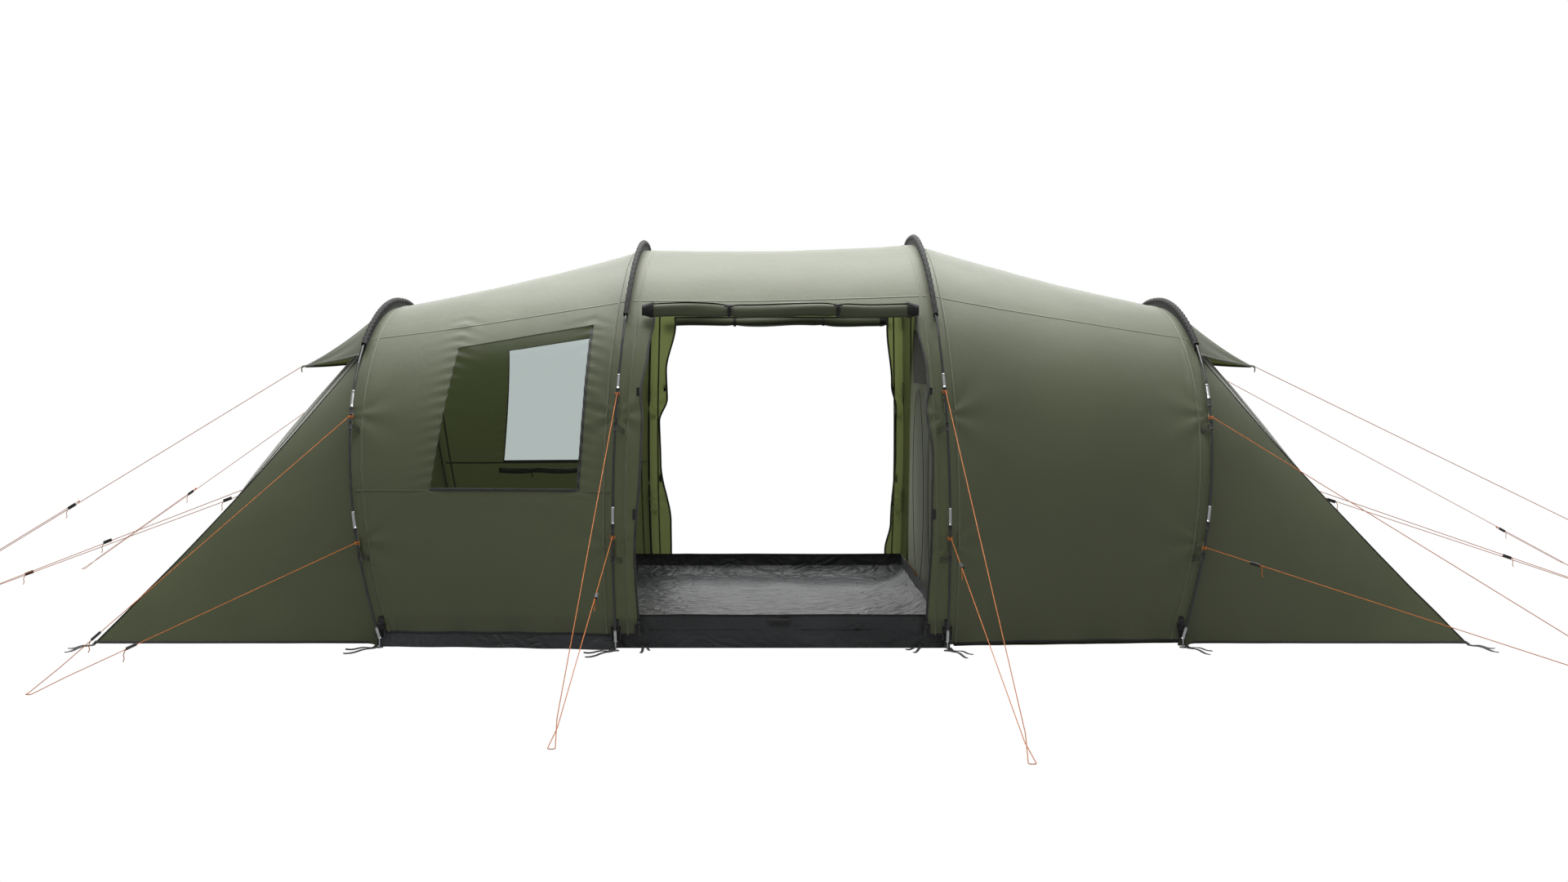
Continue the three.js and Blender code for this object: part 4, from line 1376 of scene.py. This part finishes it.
def make_sleeve(hoop):
    first = hoop.share_at(SLEEVE_ENDS[hoop.number])
    count = 260
    rows = []
    for k in range(count + 1):
        share = mix(first, 1 - first, k / count)
        centre = hoop.point(share)
        up = centre - hoop.point(share, 1)
        depth = up.length - 0.001
        up.normalize()
        beat = math.sin(k * 0.95 + 3 * ripple(centre, 3.0))
        outline = sleeve_outline(depth, 0.0022 * beat)
        rows.append([centre + Vector((x, 0, 0)) + up * z for x, z in outline])
    piece = Mesh().grid(rows).object(f"pole_sleeve_{hoop.number}", "sleeve",
                                     replaces=[f"sleeve_{hoop.number}"])
    length = path_length(column(rows, 0))


for hoop in hoops.values():
    make_sleeve(hoop)

HOOD = {"tip": LOW_FOOT + 0.696, "tip_height": 1.292, "tip_width": 0.070, "start": 1.345,
        "offset": 0.020, "drop": 0.78}


def make_hood(number, name, node):
    """The peaked vent hood: pulled to its tip, hollow between, with a bound edge."""
    hoop = hoops[number]
    first = hoop.share_at(HOOD["start"], 1)
    rows = []
    for i in range(41):
        u = i / 40
        row = []
        for j in range(61):
            v = j / 60
            start = hoop.point(mix(first, 1 - first, v), HOOD["drop"])
            start.x += hoop.side * HOOD["offset"]
            tip = Vector((hoop.side * HOOD["tip"], (v - 0.5) * HOOD["tip_width"], HOOD["tip_height"]))
            p = start.lerp(tip, u)
            hollow = 4 * u * (1 - u)
            p.z -= 0.022 * hollow * (0.35 + math.sin(math.pi * v))
            fold = 0.005 * math.sin(v * 46 + 2 * u) * hollow
            p.z += fold
            row.append(p)
        rows.append(row)
    # The hood takes the darker copy of the outer cloth: painted shade.
    piece = Mesh().grid(rows).object(name, "hood", replaces=[node])
    width = path_length(rows[0])
    length = max(path_length(column(rows, j)) for j in (0, 30, 60))
    edges = Mesh()
    for j in (0, 60):
        path = column(rows, j)
        outward = Vector((0, math.copysign(1, path[0].y), 0.2)).normalized()
        edges.sweep(path, flat(0.012, 0.003), outward)
    # The edges take the darker seam cloth: painted shade.
    edges.object(f"{name}_edges", "seam")
    tip = Vector((hoop.side * HOOD["tip"], 0, HOOD["tip_height"]))
    out = Vector((hoop.side, 0, 0))
    strap = Mesh()
    over = [tip - out * 0.05 + UP * 0.004, tip, tip + out * 0.016 - UP * 0.004]
    strap.sweep(over, flat(0.024, 0.003))
    hang = [tip + out * 0.008, tip + out * 0.013 - UP * 0.014, tip + out * 0.009 - UP * 0.030]
    strap.sweep(spaced(hang, 6), flat(0.016, 0.002), out)
    strap.object(f"{name}_strap", "black")


make_hood(1, "hood_cloth_left", "vent_hood_left")
make_hood(4, "hood_cloth_right", "vent_hood_right")


# ---- Poles' fittings -----------------------------------------------------------------------------

FERRULES = {1: (1.10, 1.176), 2: (1.190, 1.255), 3: (1.195, 1.258), 4: (1.14, 1.205)}
LOW_FERRULES = {1: (0.545, 0.62), 2: (0.575, 0.65), 3: (0.57, 0.645), 4: (0.575, 0.645)}
TIP_HEIGHT = 0.095  # the steel tip at a pole's foot ends here
CLIP_HEIGHTS = (0.415, 1.015)
TAPE_LENGTH = 0.034
GUY_HEIGHTS = {1: (0.480, 1.058), 2: (0.515, 1.168), 3: (0.510, 1.178), 4: (0.457, 1.054)}


def pole_path(hoop, low, high, side, count=6):
    first, last = hoop.share_at(low), hoop.share_at(high)
    return [hoop.point(on_side(share, side)) for share in evenly(first, last, count)]


def make_pole_fittings(hoop):
    """Steel ferrules where the pole's sections join, and its tips."""
    ferrules = Mesh()
    for side in OUT:
        for low, high in (FERRULES[hoop.number], LOW_FERRULES[hoop.number]):
            ferrules.sweep(pole_path(hoop, low, high, side), circle(POLE_RADIUS + 0.0022, 14),
                           ALONG)
            for z in (low, high):
                lip = pole_path(hoop, z - 0.002, z + 0.002, side, 1)
                ferrules.sweep(lip, circle(POLE_RADIUS + 0.0030, 14), ALONG)
        ferrules.sweep(pole_path(hoop, POLE_FOOT - 0.004, TIP_HEIGHT, side),
                       circle(POLE_RADIUS + 0.0025, 14), ALONG)
    ferrules.object(f"ferrules_{hoop.number}", "steel")


def pole_wrap(mesh, hoop, z, side, length, radius):
    """A tube round the pole, centred on height z."""
    mesh.sweep(pole_path(hoop, z - length / 2, z + length / 2, side, 3), circle(radius, 12),
               ALONG)


def make_clips(hoop):
    """Ladders of black webbing that hold the bare pole to the cloth, and tape round the pole."""
    tabs = Mesh()
    for side in OUT:
        for z in CLIP_HEIGHTS:
            for rung in (-0.010, 0.0, 0.010):
                share = on_side(hoop.share_at(z + rung), side)
                start, end = hoop.point(share), hoop.point(share, 1.03)
                start.x -= hoop.side * 0.004
                end.x -= hoop.side * 0.040
                tabs.sweep(spaced([start, end], 4), flat(0.0045, 0.0035))
            pole_wrap(tabs, hoop, z, side, TAPE_LENGTH, POLE_RADIUS + 0.003)
        for ferrules in (FERRULES, LOW_FERRULES):
            z = ferrules[hoop.number][0] - 0.018
            pole_wrap(tabs, hoop, z, side, TAPE_LENGTH, POLE_RADIUS + 0.0035)
    tabs.object(f"pole_clips_{hoop.number}", "black")


def make_guy_loops(hoop):
    """The loops of orange cord by which the guylines are tied to the poles."""
    mesh = Mesh()
    for side in OUT:
        for z in GUY_HEIGHTS[hoop.number]:
            centre = hoop.point(on_side(hoop.share_at(z), side))
            out = Vector((0, OUT[side], 0))
            for turn in (-0.004, 0.004):
                ring = []
                for k in range(17):
                    angle = 2 * math.pi * k / 16
                    ring.append(centre + Vector((math.cos(angle), math.sin(angle), 0)) * 0.0105
                                + UP * (turn + 0.003 * math.sin(angle)))
                mesh.sweep(ring, circle(CORD / 2, 6))
            loop = [centre + out * 0.009 + UP * 0.004, centre + out * 0.018 + UP * 0.001,
                    centre + out * 0.018 - UP * 0.008, centre + out * 0.009 - UP * 0.005]
            mesh.sweep(spaced(loop, 8), circle(CORD / 2, 6), ALONG)
    mesh.object(f"guy_loops_{hoop.number}", "orange")


GORE_WIDTH = 0.17


def make_pull_tabs(hoop):
    """Small gathered gores of cloth that reach from the tent to the pole at its guy points."""
    mesh = Mesh()
    for side in OUT:
        for z in GUY_HEIGHTS[hoop.number]:
            tip = hoop.point(hoop.share_at(z - 0.02), 0.25)
            rows = []
            for i in range(13):
                t = i / 12
                spread = GORE_WIDTH / 2 * (2 * t - 1)
                edge = hoop.point(hoop.share_at(z - 0.03 + spread), 1.12)
                row = []
                for j in range(11):
                    u = j / 10
                    p = edge.lerp(tip + UP * 0.016 * (2 * t - 1), u)
                    p.x += hoop.side * 0.005 * math.sin(26 * t) * (1 - 0.6 * u)
                    row.append(p if side == "near" else Vector((p.x, -p.y, p.z)))
                rows.append(row)
            mesh.grid(rows)
    piece = mesh.object(f"pull_tabs_{hoop.number}", "outer")


def ground_strap(mesh, start, heading, length, width, curl=0.0):
    """A strap that drops from `start` to the ground and lies along it."""
    path = [start, start + UP * -start.z * 0.6 + heading * 0.012]
    side = heading.cross(UP)
    for k in range(7):
        t = k / 6
        path.append(Vector((start.x, start.y, 0)) + heading * (0.02 + length * t)
                    + side * curl * t * t + UP * (0.004 + 0.006 * math.sin(4 * t) ** 2))
    mesh.sweep(spaced(path, 18), flat(width, 0.004), UP + heading * 0.5)


FOOT_STRAPS = ((0.9, 0.12), (2.4, 0.19))  # how far each turns outwards, and its length


def make_foot(hoop):
    """Webbing and ladder-lock at each foot, with the loops that lie round it."""
    straps, buckles = Mesh(), Mesh()
    for side in OUT:
        out = Vector((0, OUT[side], 0))
        foot = hoop.point(on_side(hoop.share_at(POLE_FOOT), side))
        inner = Vector((foot.x, foot.y - OUT[side] * STANDOFF_SIDE, 0))
        down = [inner + UP * 0.14, inner + UP * 0.10 + out * 0.012, inner + UP * 0.06 + out * 0.018,
                foot - UP * foot.z + UP * 0.012 - out * 0.004]
        straps.sweep(spaced(down, 8), flat(0.025, 0.0025), ACROSS)
        for dx in (-0.019, 0.019):
            rail = [inner + Vector((dx, 0, 0)) + UP * z + out * 0.02 for z in (0.05, 0.11)]
            buckles.sweep(rail, circle(0.004, 8), out)
        for z in (0.055, 0.080, 0.105):
            bar = [inner + Vector((dx, 0, z)) + out * 0.021 for dx in (-0.019, 0.019)]
            buckles.sweep(bar, circle(0.0035, 8), out)
        for turn, length in FOOT_STRAPS:
            heading = Vector((hoop.side, OUT[side] * turn, 0)).normalized()
            start = Vector((foot.x, foot.y, 0.016)) + heading * 0.016
            ground_strap(straps, start, heading, length, 0.015, 0.03)
    straps.object(f"foot_straps_{hoop.number}", "black")
    buckles.object(f"foot_buckles_{hoop.number}", "plastic")


DOOR_LOOP = 0.64  # along X, where the loops below the doorways are sewn


def make_corner_straps():
    """The peg straps at the four corners of the ends, and the loops below the doorways' edges."""
    mesh = Mesh()
    for x in (-DOOR_LOOP, DOOR_LOOP):
        for side in OUT:
            for turn, length in ((-0.6, 0.09), (-0.15, 0.15)):
                heading = Vector((turn * math.copysign(1, x), OUT[side], 0)).normalized()
                ground_strap(mesh, Vector((x, OUT[side] * 1.215, 0.03)), heading, length, 0.013, 0.02)
    for hoop in (hoops[1], hoops[4]):
        for side in OUT:
            corner = Vector((hoop.side * END_FOOT, OUT[side] * END_HALF, 0.012))
            heading = Vector((hoop.side * 0.32, OUT[side] * 0.95, 0)).normalized()
            ground_strap(mesh, corner, heading, 0.20, 0.020, 0.03 * hoop.side)
            turned = (heading + Vector((hoop.side * 0.25, 0, 0))).normalized()
            ground_strap(mesh, corner, turned, 0.12, 0.014)
    mesh.object("corner_straps", "black")


def make_end_patches():
    """The sewn patch and webbing loop on each end, where its guyline is tied."""
    for name, end in (("left", left_end), ("right", right_end)):
        amount = end_relief(end)
        out = Vector((end.hoop.side * 0.8, 0, 0.6))
        rows = []
        for s in evenly(0.585, 0.685, 8):
            places = [end.point(s, share) for share in evenly(0.482, 0.518, 8)]
            rows.append([p + out * (amount(p) + 0.003) for p in places])
        # The patch takes the lighter copy of the outer cloth: a painted highlight.
        patch = Mesh().grid(rows).object(f"end_patch_{name}", "edge")
        width = path_length(rows[-1])
        middle = end.point(0.635, 0.5)
        middle += out * (amount(middle) + 0.004)
        loop = [middle - ACROSS * 0.05, middle - ACROSS * 0.03 + out * 0.006, middle + out * 0.010,
                middle + ACROSS * 0.03 + out * 0.006, middle + ACROSS * 0.05]
        Mesh().sweep(spaced(loop, 16), flat(0.020, 0.0025), out).object(f"end_loop_{name}", "black")


make_end_patches()
for hoop in hoops.values():
    make_pole_fittings(hoop)
    make_clips(hoop)
    make_guy_loops(hoop)
    make_pull_tabs(hoop)
    make_foot(hoop)
make_corner_straps()


# ---- Groundsheet ---------------------------------------------------------------------------------

TUB_LOW, TUB_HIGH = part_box("groundsheet_tub")
TUB_WALL = 0.150


def tub_half(x):
    """Half the groundsheet's width at x."""
    at_low = hoops[1].half - 0.075
    t = clamp((x - TUB_LOW.x) / (-TALL_FOOT - TUB_LOW.x))
    return mix(at_low, TUB_HIGH.y, t)


def floor_height(x, y):
    """The floor lies on the ground, with folds from its corners and long soft ridges."""
    p = Vector((x, y, 0))
    folds = 0.0
    for corner_x in (TUB_LOW.x, TUB_HIGH.x):
        for corner_y in (-TUB_HIGH.y, TUB_HIGH.y):
            reach = math.hypot(x - corner_x, y - corner_y)
            angle = math.atan2(y - corner_y, x - corner_x)
            folds += 0.007 * abs(math.sin(11 * angle + corner_x)) * math.exp(-reach / 0.35)
    ridges = 0.010 * max(0.0, math.sin(2.1 * y + 0.7 * x + 2.5 * ripple(p, 0.8))) ** 12
    crumple = 0.004 * abs(ripple(p, 6.0)) + 0.002 * abs(ripple(p, 17.0))
    to_edge = max(0.0, min(x - TUB_LOW.x, TUB_HIGH.x - x, tub_half(x) - abs(y)))
    turn_up = 0.085 * math.exp(-to_edge / 0.075)
    return 0.0015 + folds + ridges + crumple + turn_up


def make_tub_floor():
    rows = []
    for x in evenly(TUB_LOW.x, TUB_HIGH.x, 130):
        half = tub_half(x) - 0.004
        rows.append([Vector((x, y, floor_height(x, y))) for y in evenly(-half, half, 120)])
    piece = Mesh().grid(rows).object("tub_floor", "floor", replaces=["groundsheet_tub"])
    (TUB_HIGH.x - TUB_LOW.x) * (TUB_HIGH.y + tub_half(TUB_LOW.x))


def tub_outline(inset):
    """Round the groundsheet's edge, from its near left corner by the near side."""
    corners = [(TUB_LOW.x + inset, -(tub_half(TUB_LOW.x) - inset)), (-TALL_FOOT, -(TUB_HIGH.y - inset)),
               (TUB_HIGH.x - inset, -(TUB_HIGH.y - inset)), (TUB_HIGH.x - inset, TUB_HIGH.y - inset),
               (-TALL_FOOT, TUB_HIGH.y - inset), (TUB_LOW.x + inset, tub_half(TUB_LOW.x) - inset)]
    corners = [Vector((x, y, 0)) for x, y in corners]
    return spaced(corners + [corners[0]], 420)


def make_tub_walls():
    outline = tub_outline(0.002)
    middle_x = (TUB_LOW.x + TUB_HIGH.x) / 2
    rows = []
    for i in range(15):
        t = i / 14
        row = []
        for p in outline[:-1]:
            off = p.x - middle_x
            inward = Vector((-math.copysign(1, off) * smooth_step(abs(off) / 1.4),
                             -math.copysign(1, p.y) * smooth_step(abs(p.y) / 1.1), 0))
            sag = 0.006 * abs(ripple(p, 2.2))
            spot = p + UP * (t * (TUB_WALL - sag) + 0.0005)
            lean = 0.010 * t * abs(ripple(spot, 1.6))
            lean += 0.006 * (1 - abs(2 * t - 1)) * abs(ripple(spot, 7.0, (1, 1, 2)))
            row.append(spot + inward * lean)
        rows.append(row)
    piece = Mesh().grid(rows, closed=True).object("tub_walls", "wall")
    path_length(outline)
    top = rows[-1] + [rows[-1][0]]
    rim = Mesh().sweep(top, flat(0.007, 0.010), UP)
    rim.object("tub_rim", "black")
    tabs = Mesh()
    for y in (-TUB_HIGH.y, TUB_HIGH.y):
        out = Vector((0, math.copysign(0.006, y), 0))
        strip = [Vector((-0.01 + 0.10 * (k / 4 - 0.5), y, TUB_WALL - 0.030)) + out for k in range(5)]
        tabs.sweep(strip, flat(0.034, 0.003), Vector((0, math.copysign(1, y), 0)))
    tabs.object("tub_tabs", "black")


def make_tub_straps():
    """The orange pull loop where the bedroom's front meets the groundsheet."""
    x, y = TUB_HIGH.x, 0.2
    path = [Vector((x - 0.003, y, 0.142)), Vector((x - 0.020, y - 0.01, 0.175)),
            Vector((x - 0.052, y - 0.02, 0.215)), Vector((x - 0.070, y - 0.02, 0.245))]
    Mesh().sweep(spaced(path, 12), flat(0.018, 0.0025), UP).object("bedroom_pull", "orange")


make_tub_floor()
make_tub_walls()
make_tub_straps()


# ---- Bedroom -------------------------------------------------------------------------------------

INNER_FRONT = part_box("inner_canopy")[0].x
INNER_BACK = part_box("inner_canopy")[1].x
INNER_INSET = 0.080
INNER_DROP = 0.090
INNER_BACK_HALF = END_HALF - 0.220
INNER_BREAK = LOW_FOOT + INNER_INSET / 2  # where the canopy turns down to its sloping back
INNER_BASE = 0.008  # the bedroom's walls start here, on its floor


def inner_arch(hoop, share):
    """Y and Z of the bedroom's arch inside a hoop."""
    cosine = math.cos(math.pi * share)
    half = hoop.half - STANDOFF_SIDE - INNER_INSET
    height = (RIDGE if hoop.bow is tall_bow else hoop.height) - STANDOFF_TOP - INNER_DROP
    y = -math.copysign(abs(cosine) ** (2 / ARCH_POWER), cosine) * half
    return y, height * hoop.rise(share)


def inner_first(hoop):
    height = hoop.height - STANDOFF_TOP - INNER_DROP
    return math.asin(clamp(INNER_BASE / height) ** (ARCH_POWER / 2)) / math.pi


def make_inner_canopy():
    tall, low = hoops[3], hoops[4]
    first = inner_first(low)
    ridge = math.asin(((RIDGE_HEIGHT - INNER_DROP) / (low.height - STANDOFF_TOP - INNER_DROP))
                      ** (ARCH_POWER / 2)) / math.pi
    rows = []
    for i in range(71):
        u = i / 70 * 2
        row = []
        for share in evenly(first, 1 - first, 90):
            y, z = inner_arch(low, share)
            fold = Vector((INNER_BREAK, y, z))
            if u <= 1:
                y, z = inner_arch(tall, share)
                p = Vector((INNER_FRONT, y, z)).lerp(fold, u)
            else:
                turned = min(share, 1 - share)
                near = -1 if share < 0.5 else 1
                if turned < ridge:
                    t = (turned - first) / (ridge - first)
                    half = mix(abs(inner_arch(low, first)[0]), INNER_BACK_HALF, t)
                    ground = Vector((mix(INNER_BREAK + 0.07, INNER_BACK, t), near * half, INNER_BASE))
                else:
                    across = (share - 0.5) / (0.5 - ridge)
                    ground = Vector((INNER_BACK, across * INNER_BACK_HALF, INNER_BASE))
                p = fold.lerp(ground, u - 1)
            row.append(p)
        rows.append(row)

    def slack(p):
        return 0.008 * ripple(p, 1.7) + 0.003 * ripple(p, 6.0) - 0.010

    rows = relieved(rows, slack, lambda p: Vector((0.2, p.y, p.z - 0.3)))
    piece = Mesh().grid(rows).object("bedroom_canopy", "inner", replaces=["inner_canopy"])
    length = path_length(column(rows, 45))
    across = path_length(rows[0])


def inner_front_rows():
    """The front panel: a sheet across the tent, from the floor up to the arch."""
    tall = hoops[3]
    first = inner_first(tall)
    rows = []
    for share in evenly(first, 0.5, 70):
        y, z = inner_arch(tall, share)
        rows.append([Vector((INNER_FRONT - 0.004, across, z)) for across in evenly(y, -y, 120)])
    return rows


def make_inner_front():
    low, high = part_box("inner_mesh")

    def wrinkle(p):
        drape = 0.006 * ripple(p, 2.0, (1, 1, 0.4)) + 0.003 * math.sin(p.y * 14 + 2 * ripple(p, 1.2))
        return drape - 0.006

    rows = relieved(inner_front_rows(), wrinkle, lambda p: Vector((-1, 0, 0)))

    def solid(i, j):
        p = (rows[i][j] + rows[i + 1][j + 1]) / 2
        return not (low.z < p.z < high.z and low.y < p.y < high.y)

    panel = Mesh().grid(rows, solid).object("bedroom_front", "inner", replaces=["inner_front"])
    width, height = 2 * abs(inner_arch(hoops[3], 0)[0]), inner_arch(hoops[3], 0.5)[1]
    mesh_rows = []
    for z in evenly(low.z - 0.02, high.z + 0.02, 12):
        mesh_rows.append([Vector((INNER_FRONT - 0.0035 + 0.003 * ripple(Vector((0, y, z)), 4.0), y, z))
                          for y in evenly(low.y - 0.02, high.y + 0.02, 60)])
    net = Mesh().grid(mesh_rows).object("bedroom_net", "mesh", replaces=["inner_mesh"])
    zips = Mesh()
    for centre_y in (-0.42, 0.42):
        path = []
        for k in range(49):
            angle = math.radians(-80 + 340 * k / 48)
            path.append(Vector((INNER_FRONT - 0.012, centre_y - 0.30 * math.cos(angle),
                                0.62 + 0.54 * math.sin(angle))))
        zips.sweep(path, flat(0.009, 0.003), ALONG)
    zips.object("bedroom_zips", "zip")


def make_inner_floor():
    low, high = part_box("inner_floor")
    rows = []
    for i in range(61):
        x = mix(low.x, high.x, i / 60)
        at_low = hoops[4].half - STANDOFF_SIDE - INNER_INSET
        if x < INNER_BREAK:
            half = mix(high.y, at_low, (x - low.x) / (INNER_BREAK - low.x))
        else:
            half = mix(at_low, INNER_BACK_HALF, (x - INNER_BREAK) / (high.x - INNER_BREAK))
        rows.append([Vector((x, mix(-half, half, j / 60),
                             0.003 + 0.005 * abs(ripple(Vector((x, j / 20, 0)), 5.0))))
                     for j in range(61)])
    piece = Mesh().grid(rows).object("bedroom_floor", "wall", replaces=["inner_floor"])


make_inner_canopy()
make_inner_front()
make_inner_floor()


# ---- CAD pieces that stay ------------------------------------------------------------------------

def finish_cad_pieces():
    """The poles, pins and sliders keep their CAD shapes and get their materials."""
    for name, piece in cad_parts.items():
        look = {"hoop": "fibre", "foot": "steel", "slider": "plastic"}.get(name.split("_")[0])
        if look:
            piece.data.materials.clear()
            piece.data.materials.append(LOOKS[look][1])


finish_cad_pieces()


# ---- Studio --------------------------------------------------------------------------------------

def make_floor():
    nodes = Nodes("studio_floor")
    path = nodes.add("ShaderNodeLightPath")
    seen = nodes.math("MAXIMUM", path.outputs["Is Camera Ray"], path.outputs["Is Transmission Ray"])
    grey = nodes.principled(Base_Color=(0.34, 0.34, 0.34, 1), Roughness=0.9)
    white = nodes.add("ShaderNodeEmission", Color=(1, 1, 1, 1), Strength=1.0)
    floor = Mesh().grid([[Vector((x, y, -0.001)) for x in (-40, 40)] for y in (-40, 40)])
    data = bpy.data.meshes.new("studio_floor")
    data.from_pydata([tuple(p) for p in floor.points], [], floor.faces)
    data.materials.append(nodes.finish(nodes.blend(seen, grey, white)))
    add_object("studio_floor", data)


def make_light(name, place, target, size, watts):
    data = bpy.data.lights.new(name, "AREA")
    data.shape = "RECTANGLE"
    data.size, data.size_y = size
    data.energy = watts
    lamp = add_object(name, data)
    lamp.location = place
    lamp.rotation_euler = (Vector(target) - Vector(place)).to_track_quat("-Z", "Y").to_euler()


def make_world(strength):
    world = bpy.data.worlds.new("studio")
    world.use_nodes = True
    tree = world.node_tree
    tree.nodes.clear()
    output = tree.nodes.new("ShaderNodeOutputWorld")
    path = tree.nodes.new("ShaderNodeLightPath")
    background = tree.nodes.new("ShaderNodeBackground")
    background.inputs["Color"].default_value = (1, 1, 1, 1)
    seen = tree.nodes.new("ShaderNodeMath")
    seen.operation = "MAXIMUM"
    tree.links.new(path.outputs["Is Camera Ray"], seen.inputs[0])
    tree.links.new(path.outputs["Is Transmission Ray"], seen.inputs[1])
    level = tree.nodes.new("ShaderNodeMapRange")
    tree.links.new(seen.outputs["Value"], level.inputs["Value"])
    level.inputs["To Min"].default_value = strength
    level.inputs["To Max"].default_value = 1.0
    tree.links.new(level.outputs["Result"], background.inputs["Strength"])
    tree.links.new(background.outputs["Background"], output.inputs["Surface"])
    bpy.context.scene.world = world


make_floor()
make_world(0.42)
make_light("top_light", (0, 1.2, 6.5), (0, 0, 0), (7.5, 6.5), 1050)
make_light("back_light", (0, 6.5, 3.5), (0, 0, 1), (9, 3), 240)
bpy.context.scene.view_settings.view_transform = "Standard"
